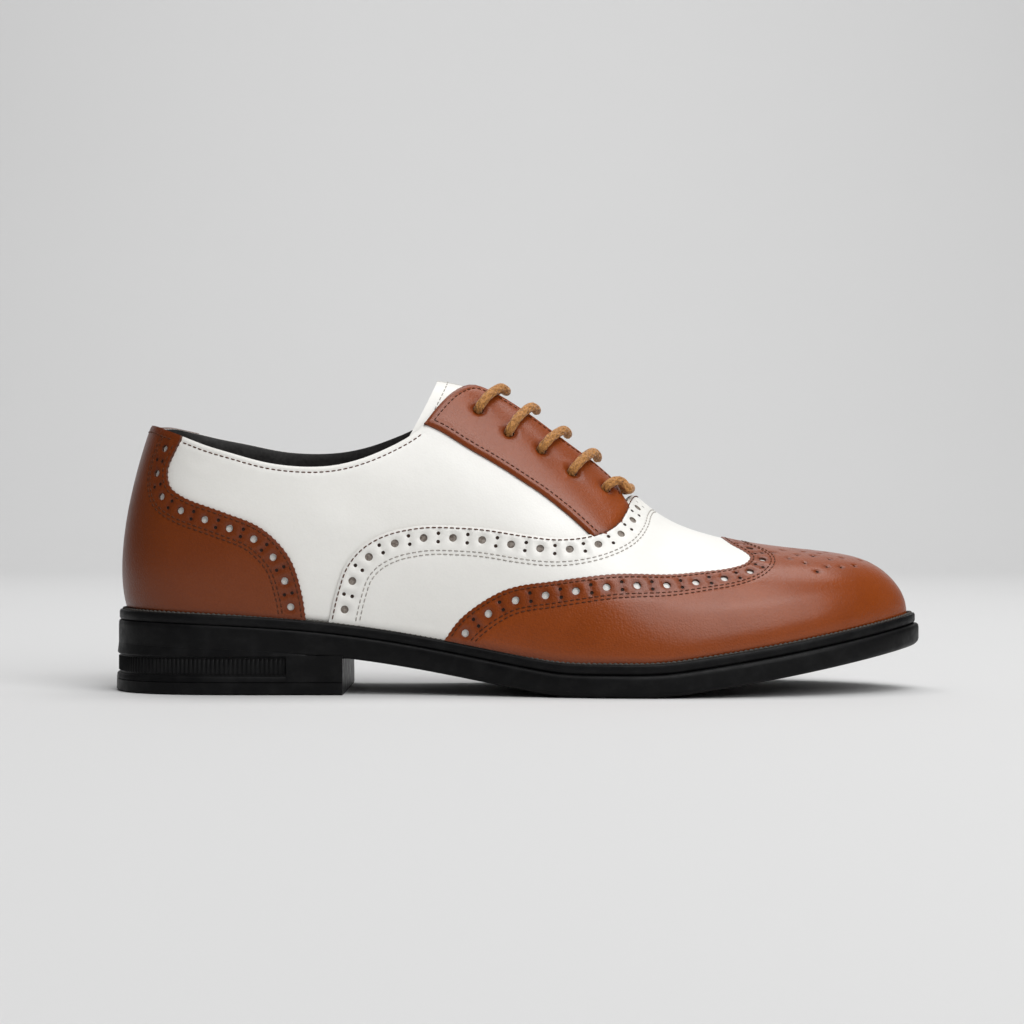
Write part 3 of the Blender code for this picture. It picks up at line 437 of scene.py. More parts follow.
def topline(side):
    """The topline on one side, as points of the chart."""
    extra = 1 if side > 0 else 0
    return smooth_line([Mark(m.station, m.wall + extra * m.medial_rise) for m in TOPLINE])


def line_lengths(side, line):
    """Length on the last from a line's start to each of its points."""
    return lengths_along(on_last(side, line[:, 0], line[:, 1], 0, worn=False))


def at_lengths(side, line, wanted):
    """Points of the chart at lengths along a line."""
    lengths = line_lengths(side, line)
    return np.stack([np.interp(wanted, lengths, line[:, k]) for k in (0, 1)], axis=1)


def even_steps(side, line, pitch, parts=1):
    """A line again with even steps, a whole number of pitches each cut into parts."""
    whole = line_lengths(side, line)[-1]
    count = max(1, round(whole / pitch)) * parts
    return at_lengths(side, line, np.linspace(0, whole, count + 1))


def shifted(side, line, distance):
    """Move a line across itself on the last's surface, to the left of its way in the chart."""
    line = np.asarray(line)
    course = np.gradient(line, axis=0)
    _, along, up, normal = last_frame(side, line[:, 0], line[:, 1])
    way = along * course[:, :1] + up * course[:, 1:]
    left = unit(np.cross(normal, way) * -side)
    aa = (along * along).sum(1)
    au = (along * up).sum(1)
    uu = (up * up).sum(1)
    la = (left * along).sum(1)
    lu = (left * up).sum(1)
    determinant = aa * uu - au * au
    move = np.stack(((la * uu - lu * au) / determinant, (lu * aa - la * au) / determinant), axis=1)
    return line + move * np.reshape(distance, (-1, 1))


def loops_at(side, centres, diameters, sides):
    """Round holes about points of the chart."""
    _, along, up, normal = last_frame(side, centres[:, 0], centres[:, 1])
    loops = []
    for centre, a, u, n, diameter in zip(centres, along, up, normal, diameters):
        matrix = np.stack((a, u, n), axis=1)
        ahead = a / np.linalg.norm(a)
        across = np.cross(n, ahead)
        angles = 2 * math.pi * (np.arange(sides) + 0.5) / sides
        move = (ahead * np.cos(angles)[:, None] + across * np.sin(angles)[:, None]) * diameter / 2
        loops.append(centre + np.linalg.solve(matrix, move.T).T[:, :2])
    return loops


def grid_run(start, end, whole, step):
    """Numbers from start to end, on a fixed grid between the two."""
    low, high = min(start, end), max(start, end)
    grid = np.arange(0, whole + step / 2, step)
    run = np.concatenate(((low,), grid[(grid > low + step / 3) & (grid < high - step / 3)], (high,)))
    return run[::-1] if end < start else run


def along_wall(start, end, wall):
    """A border's run along one wall line, with the same stations on both sides of the shoe."""
    run = grid_run(start, end, TIP, 0.08)
    return np.stack((run, np.full(len(run), float(wall))), axis=1)


def along_station(station, start, end):
    """A border's run along one station line."""
    run = grid_run(start, end, 1, 0.02)
    return np.stack((np.full(len(run), float(station)), run), axis=1)


def joined(*runs):
    """Join runs into one border, without a point twice over."""
    points = np.vstack(runs)
    keep = [0]
    for k in range(1, len(points)):
        if np.abs(points[k] - points[keep[-1]]).max() > SAME_MARK:
            keep.append(k)
    if np.abs(points[keep[-1]] - points[0]).max() < SAME_MARK:
        keep.pop()
    return points[keep]


def top_run(side, start, end):
    """The topline's run between two stations."""
    line = topline(side)
    between = line[(line[:, 0] > start + 0.01) & (line[:, 0] < end - 0.01)]
    ends = [(s, np.interp(s, line[:, 0], line[:, 1])) for s in (start, end)]
    return np.vstack((ends[:1], between, ends[1:]))


def gimped(side, line, pitch, depth):
    """A seam cut in small scallops, with its two ends kept."""
    parts = 4
    even = even_steps(side, line, pitch, parts)
    phase = np.arange(len(even)) % parts / parts
    return shifted(side, even, depth * (np.abs(np.sin(math.pi * phase)) - 0.5) * end_fade(len(even)))


def end_fade(count):
    """Shares that keep a line's two ends where they are."""
    fade = np.ones(count)
    fade[0] = fade[-1] = 0
    return fade


# Cutting and closing the leathers

def inside(points, loops):
    """Whether each point lies inside an odd number of closed loops."""
    starts = np.vstack(loops)
    ends = np.vstack([np.roll(loop, -1, axis=0) for loop in loops])
    rise = ends[:, 1] - starts[:, 1]
    slope = np.where(rise != 0, (ends[:, 0] - starts[:, 0]) / np.where(rise != 0, rise, 1), 0)
    odd = np.zeros(len(points), dtype=bool)
    for k in range(0, len(points), 4000):
        x = points[k:k + 4000, :1]
        y = points[k:k + 4000, 1:]
        spans = (starts[:, 1] > y) != (ends[:, 1] > y)
        crossing = starts[:, 0] + (y - starts[:, 1]) * slope
        odd[k:k + 4000] = np.count_nonzero(spans & (crossing > x), axis=1) % 2 == 1
    return odd


def in_metres(points):
    """Flat chart points in metres, with a third coordinate for the search tree."""
    return np.column_stack((points * CHART, np.zeros(len(points))))


def gaps(places, points):
    """Distance on the flat chart from each place to the nearest of some points."""
    tree = kdtree.KDTree(len(points))
    for k, point in enumerate(in_metres(points)):
        tree.insert(point, k)
    tree.balance()
    return np.array([tree.find(place)[2] for place in in_metres(places)])


def densified(line, closed):
    """A chart line with points less than 0.8 mm apart."""
    line = np.vstack((line, line[:1])) if closed else line
    dense = []
    for start, end in zip(line, line[1:]):
        count = max(1, int(np.linalg.norm((end - start) * CHART) / 0.0004))
        dense.append(start + (end - start) * (np.arange(count) / count)[:, None])
    dense.append(line[-1:])
    return np.vstack(dense)


def gaps_to_lines(places, lines, closed):
    """Distance on the flat chart from each place to the nearest of some lines."""
    return gaps(places, np.vstack([densified(line, closed) for line in lines]))


def cut_pattern(border, holes, guides, step):
    """Divide a pattern into small triangles. Guides are lines that get their own points."""
    low, high = border.min(axis=0), border.max(axis=0)
    stations = np.arange(low[0], high[0], step / CHART[0])
    walls = np.arange(low[1], high[1], step / CHART[1])
    grid = np.stack(np.meshgrid(stations, walls, indexing="ij"), axis=-1).reshape(-1, 2)
    free = [grid]
    near = [border, *holes]
    if guides:
        lines = np.vstack(guides)
        lines = lines[gaps_to_lines(lines, [border], True) > 0.0003]
        near.append(lines)
        free.append(lines)
    free[0] = grid[gaps(grid, np.vstack(near)) > step * 0.45]
    free = np.vstack(free)
    free = free[inside(free, [border, *holes])]
    points = []
    edges = []
    for loop in (border, *holes):
        start = len(points)
        points += [tuple(p) for p in loop]
        edges += [(start + k, start + (k + 1) % len(loop)) for k in range(len(loop))]
    points += [tuple(p) for p in free]
    # In millimetres, so that the division's own tolerance is small
    scale = CHART * 1000
    flat = [(p[0] * scale[0], p[1] * scale[1]) for p in points]
    placed, _, triangles, _, _, _ = delaunay_2d_cdt(flat, edges, [], 0, 1e-4)
    chart = np.array([tuple(p) for p in placed]) / scale
    triangles = np.array([tuple(t) for t in triangles])
    kept = triangles[inside(chart[triangles].mean(axis=1), [border, *holes])]
    return chart, kept


Pattern = namedtuple("Pattern", "side border holes guides rows")


def leather(name, patterns, top, foot, materials, round_off=0.00035, round_width=0.0006,
            row_depth=0.00016, row_width=0.0006, step=FINE, inward=False, sink=None):
    """A leather cut by patterns on the last, rounded at its edges and drawn in along its rows.

    sink takes a side and places, and gives how far they lie lower, as under another leather.
    """
    shape = bmesh.new()
    foot_place = shape.verts.layers.float_vector.new("foot")
    edge_near = shape.verts.layers.float.new("edge")
    for pattern in patterns:
        chart, triangles = cut_pattern(pattern.border, pattern.holes, pattern.guides, step)
        used = np.unique(triangles)
        places = chart[used]
        gap = gaps_to_lines(places, (pattern.border, *pattern.holes), True)
        # The ridge, the heel's back and the toe's tip are no edges
        station, wall = places.T
        joins = (wall > 1 - SAME_MARK) | (station < SAME_MARK) | (station > TIP - SAME_MARK)
        ridge_gap = np.minimum((1 - wall) * CHART[1], station * CHART[0])
        gap = np.where(joins | (ridge_gap < gap * 1.01), np.maximum(gap, 0.02), gap)
        lift = top - round_off * np.exp(-(gap / round_width) ** 2)
        if pattern.rows:
            row_gap = gaps_to_lines(places, pattern.rows, False)
            lift = lift - row_depth * np.exp(-(row_gap / row_width) ** 2)
            gap = np.minimum(gap, row_gap + 0.002)
        if sink:
            lift = lift - sink(pattern.side, places)
        outer = on_last(pattern.side, station, wall, lift)
        inner = on_last(pattern.side, station, wall, foot)
        verts = {}
        for corner, outer_place, inner_place, edge in zip(used, outer, inner, gap):
            vert = shape.verts.new(outer_place)
            vert[foot_place] = inner_place
            vert[edge_near] = min(edge / 0.006, 1)
            verts[corner] = vert
        flip = (pattern.side < 0) == inward
        for triangle in triangles:
            order = triangle[::-1] if flip else triangle
            shape.faces.new([verts[corner] for corner in order])
    bmesh.ops.remove_doubles(shape, verts=shape.verts[:], dist=WELD)
    rims = [edge.link_loops[0] for edge in shape.edges if edge.is_boundary]
    rims = [(loop.vert, loop.link_loop_next.vert) for loop in rims]
    ends = {vert for pair in rims for vert in pair}
    high = {vert: shape.verts.new(vert.co) for vert in ends}
    low = {vert: shape.verts.new(vert[foot_place]) for vert in ends}
    for start, end in rims:
        face = shape.faces.new((high[end], high[start], low[start], low[end]))
        face.material_index = len(materials) - 1
    return finish_piece(name, shape, materials)


def finish_piece(name, shape, materials):
    """Make a bmesh an object of the shoe, smooth, with its materials."""
    mesh = bpy.data.meshes.new(name)
    shape.to_mesh(mesh)
    shape.free()
    mesh.shade_smooth()
    return place_piece(name, mesh, materials)


def place_piece(name, mesh, materials):
    """Put a mesh into the scene as a piece that rides on the shoe."""
    for material in materials:
        mesh.materials.append(material)
    piece = bpy.data.objects.new(name, mesh)
    bpy.context.scene.collection.objects.link(piece)
    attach(piece, "root")
    return piece


def listed_piece(name, verts, faces, material):
    """A smooth piece from its verts and faces."""
    mesh = bpy.data.meshes.new(name)
    mesh.from_pydata(verts.tolist(), [], faces)
    mesh.shade_smooth()
    return place_piece(name, mesh, [material])


# Threads

# Rings of one stitch: share of its length, height and radius in thread radii
StitchRing = namedtuple("StitchRing", "along height radius")
STITCH_RINGS = (
    StitchRing(0.00, -1.2, 0.45), StitchRing(0.12, -0.1, 0.90), StitchRing(0.50, 0.35, 1.00),
    StitchRing(0.88, -0.1, 0.90), StitchRing(1.00, -1.2, 0.45),
)
RING_PLACES, RING_HEIGHTS, RING_RADII = np.array(STITCH_RINGS).T
STITCH_SIDES = 6
# The lace: corners round it, strands of its braid, height of the strands as a share of its radius,
# length of one turn, and height of its section as a share of the width
CORD_SIDES = 40
CORD_STRANDS = 10
CORD_SWELL = 0.16
CORD_LAY = 0.0042
CORD_FLATNESS = 0.96
# Corners of the loops that large and small holes are cut by
LARGE_SIDES = 16
SMALL_SIDES = 10


def stitch_places(whole, pitch, length):
    """Lengths of every ring of the stitches that fit on a row."""
    count = max(1, int(whole / pitch))
    starts = (whole - count * pitch) / 2 + pitch * np.arange(count) + (pitch - length) / 2
    return (starts[:, None] + RING_PLACES * length).ravel()


def tube_faces(base, rings, sides):
    """Faces round a tube whose rings of verts start at base."""
    return [(base + k * sides + corner, base + k * sides + (corner + 1) % sides,
             base + (k + 1) * sides + (corner + 1) % sides, base + (k + 1) * sides + corner)
            for k in range(rings - 1) for corner in range(sides)]


def thread_piece(name, runs, radius, thread):
    """A piece of stitches. Each run has the centres of its rings and the leather's normals."""
    verts = []
    faces = []
    rings = len(STITCH_RINGS)
    angles = 2 * math.pi * np.arange(STITCH_SIDES) / STITCH_SIDES
    base = 0
    for centres, normals in runs:
        count = len(centres) // rings
        ways = unit(np.gradient(centres.reshape(count, -1, 3), axis=1).reshape(-1, 3))
        across = unit(np.cross(ways, normals))
        upward = np.cross(across, ways)
        circle = across[:, None] * np.cos(angles)[:, None] + upward[:, None] * np.sin(angles)[:, None]
        reach = (np.tile(RING_RADII, count) * radius)[:, None, None]
        verts.append((centres[:, None] + circle * reach).reshape(-1, 3))
        for _ in range(count):
            faces += tube_faces(base, rings, STITCH_SIDES)
            base += rings * STITCH_SIDES
    return listed_piece(name, np.vstack(verts), faces, finish(thread))


def sew(name, rows, lift, thread, slot):
    """Stitches at a lift over the last, along rows that are each a side and a line of the chart."""
    sizes = bpy.context.scene.shoe_sizes
    radius = sizes.thread / 2
    runs = []
    for side, line in rows:
        if len(line) < 3:
            continue
        wanted = stitch_places(line_lengths(side, line)[-1], sizes.stitch_pitch, sizes.stitch_length)
        chart = at_lengths(side, line, wanted)
        heights = lift + np.tile(RING_HEIGHTS, len(wanted) // len(STITCH_RINGS)) * radius
        centres = on_last(side, chart[:, 0], chart[:, 1], heights)
        runs.append((centres, last_frame(side, chart[:, 0], chart[:, 1])[3]))
    return declare(thread_piece(name, runs, radius, thread), slot)


def sew_level(name, rows, stitch, thread, slot):
    """Stitches that lie level, along rows of points in space."""
    runs = []
    for row in rows:
        lengths = lengths_along(row)
        wanted = stitch_places(lengths[-1], stitch.pitch, stitch.length)
        centres = np.stack([np.interp(wanted, lengths, row[:, axis]) for axis in range(3)], axis=1)
        centres[:, 2] += np.tile(RING_HEIGHTS, len(wanted) // len(STITCH_RINGS)) * stitch.radius
        runs.append((centres, (0, 0, 1.0)))
    return declare(thread_piece(name, runs, stitch.radius, thread), slot)


def braided(name, path, normals, radius, slot, *nodes):
    """A round braided cord along a path, a little flatter along its normals."""
    way = unit(np.gradient(path, axis=0))
    across = unit(np.cross(way, normals))
    upward = np.cross(across, way)
    angles = 2 * math.pi * np.arange(CORD_SIDES) / CORD_SIDES
    turn = lengths_along(path)[:, None] / CORD_LAY * 2 * math.pi
    strand = angles * CORD_STRANDS / 2
    swell = 1 + CORD_SWELL * (np.maximum(np.cos(strand + turn), np.cos(strand - turn)) - 0.6)
    reach = radius * swell
    flat_reach = radius * CORD_FLATNESS * swell
    ring = (across[:, None] * (np.cos(angles) * reach)[..., None]
            + upward[:, None] * (np.sin(angles) * flat_reach)[..., None])
    verts = (path[:, None] + ring).reshape(-1, 3)
    faces = tube_faces(0, len(path), CORD_SIDES)
    faces.append(tuple(range(CORD_SIDES))[::-1])
    faces.append(tuple(len(verts) - CORD_SIDES + corner for corner in range(CORD_SIDES)))
    return declare(listed_piece(name, verts, faces, finish("lace")), slot, *nodes)


def curve_through(knots, step):
    """Even steps along a smooth curve through a few knots."""
    knots = np.asarray(knots)
    ends = np.vstack((2 * knots[0] - knots[1], knots, 2 * knots[-1] - knots[-2]))
    fine = []
    for a, b, c, d in zip(ends, ends[1:], ends[2:], ends[3:]):
        for t in np.linspace(0, 1, 24, endpoint=False):
            fine.append(0.5 * (2 * b + (c - a) * t + (2 * a - 5 * b + 4 * c - d) * t * t
                               + (3 * b - a - 3 * c + d) * t ** 3))
    fine = np.array(fine + [knots[-1]])
    lengths = lengths_along(fine)
    steps = np.linspace(0, lengths[-1], max(2, round(lengths[-1] / step)))
    return np.stack([np.interp(steps, lengths, fine[:, axis]) for axis in range(3)], axis=1)


# Borders, and holes with dark discs of painted shade down in the small ones

def foot_to_ridge(line):
    """A seam with its ends laid on the welt and on the ridge."""
    line = line.copy()
    line[0] = (line[0, 0], 0)
    line[-1] = (line[-1, 0], 1)
    line[1:-1, 1] = np.clip(line[1:-1, 1], 0.002, 0.998)
    return line


def trimmed(line, low=0.004, high=0.996):
    """The part of a row that lies on the wall."""
    return line[(line[:, 1] > low) & (line[:, 1] < high)]


def ahead_of(seam):
    """The border of all that lies ahead of a seam from the welt to the ridge."""
    return joined(along_wall(seam[0, 0], TIP, 0), along_station(TIP, 0, 1),
                  along_wall(TIP, seam[-1, 0], 1), seam[::-1])


def wing_line(side):
    """The wing cap's back edge before it is gimped."""
    return foot_to_ridge(even_steps(side, smooth_line(WING_SEAM), 0.0009))


def brogue_holes(side, line, sizes, scale):
    """Large holes along a band, with a pair of small ones across it between each two.

    Holes that would reach the welt or the ridge are left out.
    """
    whole = line_lengths(side, line)[-1]
    count = round(whole / (sizes.hole_pitch * scale))
    pitch = whole / count
    middles = (np.arange(count) + 0.5) * pitch
    large = at_lengths(side, line, middles)
    loops = loops_at(side, large, [sizes.large_hole * scale] * count, LARGE_SIDES)
    half = sizes.pair_gap * scale / 2
    lengths = line_lengths(side, line)
    between = pitch * np.arange(1, count)
    for away in (-half, half):
        beside = shifted(side, line, away)
        small = np.stack([np.interp(between, lengths, beside[:, k]) for k in (0, 1)], axis=1)
        loops += loops_at(side, small, [sizes.small_hole * scale] * len(small), SMALL_SIDES)
    return [loop for loop in loops if loop[:, 1].min() > 0.012 and loop[:, 1].max() < 0.99]


def small_ones(side, loops):
    """The small holes among loops, each with its side."""
    return [(side, loop) for loop in loops if len(loop) == SMALL_SIDES]


def hole_shade_discs(name, loops, lift, slot):
    """Dark discs down in small holes, painted shade where the holes are deep; each is a side and the
    loop that the hole was cut by.
    """
    shape = bmesh.new()
    for side, loop in loops:
        places = on_last(side, loop[:, 0], loop[:, 1], lift)
        face = shape.faces.new([shape.verts.new(place) for place in places])
        face.normal_update()
        _, _, _, normal = last_frame(side, loop[:1, 0], loop[:1, 1])
        if face.normal.dot(normal[0]) < 0:
            face.normal_flip()
    return declare(finish_piece(name, shape, [finish("hole")]), slot)


def upper_border(side):
    """The whole upper, from the welt to the topline, throat and toe."""
    throat = smooth_line(SWAN_SEAM)
    throat = throat[throat[:, 1] > TOPLINE[-1].wall + SAME_MARK]
    return joined(along_wall(0, TIP, 0), along_station(TIP, 0, 1), along_wall(TIP, throat[-1, 0], 1),
                  throat[::-1], top_run(side, 0, TOPLINE[-1].station)[::-1],
                  along_station(0, TOPLINE[0].wall, 0))


# Finishes

def new_material(name, colour, roughness, **sockets):
    """A material with a surface shader. Returns it, its node tree and the shader."""
    material = bpy.data.materials.new(name)
    material.use_nodes = True
    material.diffuse_color = (*colour, 1)
    tree = material.node_tree
    shader = tree.nodes["Principled BSDF"]
    shader.inputs["Base Color"].default_value = (*colour, 1)
    shader.inputs["Roughness"].default_value = roughness
    for socket, value in sockets.items():
        shader.inputs[socket.replace("_", " ")].default_value = value
    return material, tree, shader


def node(tree, kind, inputs=(), **settings):
    """Add a node, with values or links for its inputs."""
    added = tree.nodes.new(kind)
    for setting, value in settings.items():
        setattr(added, setting, value)
    for key, value in inputs:
        if isinstance(value, bpy.types.NodeSocket):
            tree.links.new(value, added.inputs[key])
        else:
            added.inputs[key].default_value = value
    return added


def noise(tree, scale, detail=3.0, roughness=0.5):
    """Noise over the object's own place, with features about 1/scale metres wide."""
    place = node(tree, "ShaderNodeTexCoord")
    return node(tree, "ShaderNodeTexNoise",
                (("Vector", place.outputs["Object"]), ("Scale", scale), ("Detail", detail),
                 ("Roughness", roughness))).outputs["Fac"]


def cells(tree, scale):
    """Rounded cells over the object's own place."""
    place = node(tree, "ShaderNodeTexCoord")
    return node(tree, "ShaderNodeTexVoronoi",
                (("Vector", place.outputs["Object"]), ("Scale", scale)),
                feature="SMOOTH_F1").outputs["Distance"]


def spread(tree, source, low, high, new_low, new_high):
    """Stretch a value from one range to another."""
    return node(tree, "ShaderNodeMapRange",
                (("Value", source), ("From Min", low), ("From Max", high), ("To Min", new_low),
                 ("To Max", new_high))).outputs["Result"]


def blend(tree, share, first, second):
    """Mix two colours by a share."""
    mix = node(tree, "ShaderNodeMix", data_type="RGBA")
    for key, value in ((0, share), (6, first), (7, second)):
        if isinstance(value, bpy.types.NodeSocket):
            tree.links.new(value, mix.inputs[key])
        else:
            mix.inputs[key].default_value = value
    return mix.outputs[2]


def bumps(tree, shader, layers):
    """Stack bump layers, each a height, a strength and a distance in metres."""
    below = None
    for height, strength, distance in layers:
        inputs = [("Height", height), ("Strength", strength), ("Distance", distance)]
        if below:
            inputs.append(("Normal", below))
        below = node(tree, "ShaderNodeBump", inputs).outputs["Normal"]
    tree.links.new(below, shader.inputs["Normal"])


def darker(colour, share):
    """A colour darkened to a share of itself, as four numbers."""
    return (*(channel * share for channel in colour), 1)


def smooth_leather(name, colour, dark, grain, roughness, coat, patch=0.25, edge_dark=0.6, shine=0.5):
    """Finished calf leather, with a fine grain, soft patches and darker edges."""
    material, tree, shader = new_material(name, colour, roughness, Coat_Weight=coat,
                                          Coat_Roughness=0.24, Specular_IOR_Level=shine)
    patches = spread(tree, noise(tree, 38, 4, 0.55), 0.35, 0.70, 0, patch)
    fleck = spread(tree, noise(tree, 900, 2, 0.6), 0.40, 0.70, 0, patch * 0.5)
    base = blend(tree, patches, (*colour, 1), (*dark, 1))
    base = blend(tree, fleck, base, (*dark, 1))
    near = node(tree, "ShaderNodeAttribute", attribute_name="edge").outputs["Fac"]
    rim = spread(tree, near, 0.0, 0.35, edge_dark, 0)
    base = blend(tree, rim, base, (*dark, 1))
    tree.links.new(base, shader.inputs["Base Color"])
    tree.links.new(spread(tree, noise(tree, 60, 3), 0.3, 0.7, roughness - 0.06, roughness + 0.07),
                   shader.inputs["Roughness"])
    bumps(tree, shader, ((noise(tree, 70, 2), 0.25, 0.0010), (cells(tree, 1500), grain, 0.00022),
                         (noise(tree, 2600, 2), grain * 0.6, 0.00012)))
    return material


def plain_leather(name, colour, dark, roughness):
    """Rough leather, such as a cut edge, an underlay or a lining."""
    material, tree, shader = new_material(name, colour, roughness)
    flecks = spread(tree, noise(tree, 700, 4, 0.7), 0.35, 0.65, 0, 1)
    base = blend(tree, flecks, (*colour, 1), (*dark, 1))
    tree.links.new(base, shader.inputs["Base Color"])
    bumps(tree, shader, ((noise(tree, 1500, 4, 0.7), 0.5, 0.0002),))
    return material


def sole_finish(name, colour, roughness, scuff):
    """Dyed and waxed sole edge or rubber, with light scuffs."""
    material, tree, shader = new_material(name, colour, roughness, Specular_IOR_Level=0.12)
    worn = spread(tree, noise(tree, 160, 5, 0.6), 0.45, 0.75, 0, scuff)
    base = blend(tree, worn, (*colour, 1), tuple(c + 0.02 for c in colour) + (1,))
    tree.links.new(base, shader.inputs["Base Color"])
    tree.links.new(spread(tree, noise(tree, 220, 4), 0.3, 0.7, roughness - 0.08, roughness + 0.12),
                   shader.inputs["Roughness"])
    bumps(tree, shader, ((noise(tree, 500, 4, 0.6), 0.25, 0.0003), (noise(tree, 2400, 3), 0.2, 0.0001)))
    return material


def thread_finish(name, colour):
    """Waxed sewing thread."""
    material, tree, shader = new_material(name, colour, 0.6, Specular_IOR_Level=0.2)
    tree.links.new(blend(tree, spread(tree, noise(tree, 3000, 2), 0.35, 0.65, 0, 1),
                         (*colour, 1), darker(colour, 0.55)), shader.inputs["Base Color"])
    return material


def lace_finish(name, colour, light):
    """Round braided cotton, flecked at random between a darker and a lighter colour."""
    material, tree, shader = new_material(name, colour, 0.72, Sheen_Weight=0.25, Sheen_Roughness=0.5)
    base = blend(tree, spread(tree, noise(tree, 1500, 3, 0.6), 0.38, 0.66, 0, 1), darker(colour, 0.6),
                 (*light, 1))
    tree.links.new(base, shader.inputs["Base Color"])
    bumps(tree, shader, ((noise(tree, 3200, 3), 0.5, 0.00015),))
    return material


# What a user would change

def length_property(name, description, default, low, high):
    """A length that a user sets."""
    return FloatProperty(name=name, description=description, default=default, min=low, max=high,
                         subtype="DISTANCE", unit="LENGTH")


class ShoeSizes(bpy.types.PropertyGroup):
    """Sizes of the broguing, stitches and laces."""

    large_hole: length_property("Large hole", "Width of a large brogue hole", 0.0029, 0.001, 0.004)
    small_hole: length_property("Small hole", "Width of a small brogue hole", 0.0014, 0.0005, 0.002)
    hole_pitch: length_property("Hole pitch", "From one large hole to the next", 0.0110, 0.007, 0.02)
    pair_gap: length_property("Pair gap", "Across the band, between two small holes",
                              0.0031, 0.002, 0.005)
    scallop_pitch: length_property("Scallop pitch", "From one scallop of a gimped edge to the next",
                                   0.0021, 0.001, 0.004)
    scallop_depth: length_property("Scallop depth", "Depth of a gimped edge's scallops",
                                   0.0003, 0.0001, 0.0015)
    stitch_pitch: length_property("Stitch pitch", "From one stitch to the next", 0.0022, 0.0012, 0.004)
    stitch_length: length_property("Stitch length", "Length of a stitch on the leather",
                                   0.0016, 0.0008, 0.003)
    thread: length_property("Thread", "Width of the sewing thread", 0.00046, 0.0002, 0.001)
    lace: length_property("Lace", "Width of the round lace", 0.0034, 0.002, 0.004)


def colour_property(name, description, default):
    """A colour that a user picks."""
    return FloatVectorProperty(name=name, description=description, default=default, size=3, min=0,
                               max=1, subtype="COLOR")


class ShoeColours(bpy.types.PropertyGroup):
    """Colours of the leathers, sole and laces."""

    white: colour_property("White leather", "Quarter, vamp and tongue", (0.83, 0.82, 0.785))
    tan: colour_property("Tan leather", "Wing cap, counter and facings", (0.262, 0.052, 0.0060))
    tan_dark: colour_property("Burnished tan", "Where the tan leather is darker", (0.11, 0.018, 0.0025))
    lining: colour_property("Lining", "Inside of the collar", (0.012, 0.011, 0.011))
    sole: colour_property("Sole", "Outsole, heel and welt", (0.0042, 0.0042, 0.0045))
    brown_thread: colour_property("Brown thread", "Stitches on tan and along white edges",
                                   (0.105, 0.030, 0.011))
    grey_thread: colour_property("Grey thread", "Inner stitches on white", (0.50, 0.47, 0.43))
    lace: colour_property("Lace", "Round laces", (0.42, 0.165, 0.025))
    floor: colour_property("Floor", "Studio floor and backdrop", (0.64, 0.64, 0.64))


MADE = {}


def finish(name):
    """One of the shoe's materials, made once from the chosen colours."""
    if name in MADE:
        return MADE[name]
    colours = bpy.context.scene.shoe_colours
    white, tan, tan_dark = tuple(colours.white), tuple(colours.tan), tuple(colours.tan_dark)
    # The counter's tan: the tan at two thirds of its colour, painted shade for the heel's side that the
    # lamps light less
    shaded_tan = tuple(0.66 * channel for channel in tan)
    makers = {
        "white leather": lambda: smooth_leather(
            "white leather", white, (0.62, 0.595, 0.55), 0.10, 0.42, 0.10, patch=0.12, edge_dark=0.18),
        "tan leather": lambda: smooth_leather(
            "tan leather", tan, tan_dark, 0.70, 0.36, 0.45, patch=0.26, edge_dark=0.60, shine=0.16),
        # Painted shade: the counter's darker copy of the tan leather
        "shaded tan": lambda: smooth_leather(
            "shaded tan leather", shaded_tan, tan_dark, 0.60, 0.40, 0.34, patch=0.30, edge_dark=0.60,
            shine=0.18),
        "white edge": lambda: plain_leather(
            "white cut edge", (0.42, 0.38, 0.33), (0.25, 0.20, 0.16), 0.8),
        "tan edge": lambda: plain_leather(
            "tan cut edge", (0.12, 0.034, 0.012), (0.05, 0.014, 0.006), 0.75),
        # Painted shade: the near-black brown of the discs down in small holes
        "hole": lambda: plain_leather(
            "pinhole painted shade", (0.030, 0.011, 0.005), (0.012, 0.005, 0.003), 0.9),
        "underlay": lambda: plain_leather(
            "underlay", (0.34, 0.30, 0.265), (0.10, 0.075, 0.06), 0.85),
        "lining": lambda: plain_leather(
            "lining leather", tuple(colours.lining), (0.03, 0.028, 0.027), 0.5),
        "insole": lambda: plain_leather(
            "insole leather", (0.055, 0.030, 0.018), (0.03, 0.016, 0.01), 0.6),
        "sole": lambda: sole_finish("sole edge", tuple(colours.sole), 0.42, 0.25),
        "tread": lambda: sole_finish("tread rubber", tuple(colours.sole), 0.62, 0.5),
        "brown thread": lambda: thread_finish("brown thread", tuple(colours.brown_thread)),
        "grey thread": lambda: thread_finish("grey thread", tuple(colours.grey_thread)),
        "welt thread": lambda: thread_finish("welt thread", (0.085, 0.078, 0.070)),
        "lace": lambda: lace_finish("lace cotton", tuple(colours.lace), (0.56, 0.25, 0.055)),
    }
    MADE[name] = makers[name]()
    return MADE[name]


SIDES = (LATERAL, MEDIAL)


def declare(piece, slot, *nodes):
    """Hide the solids that a piece stands for, and give the piece back. The slot is not used."""
    if nodes:
        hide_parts(*nodes)
    return piece


# The pieces

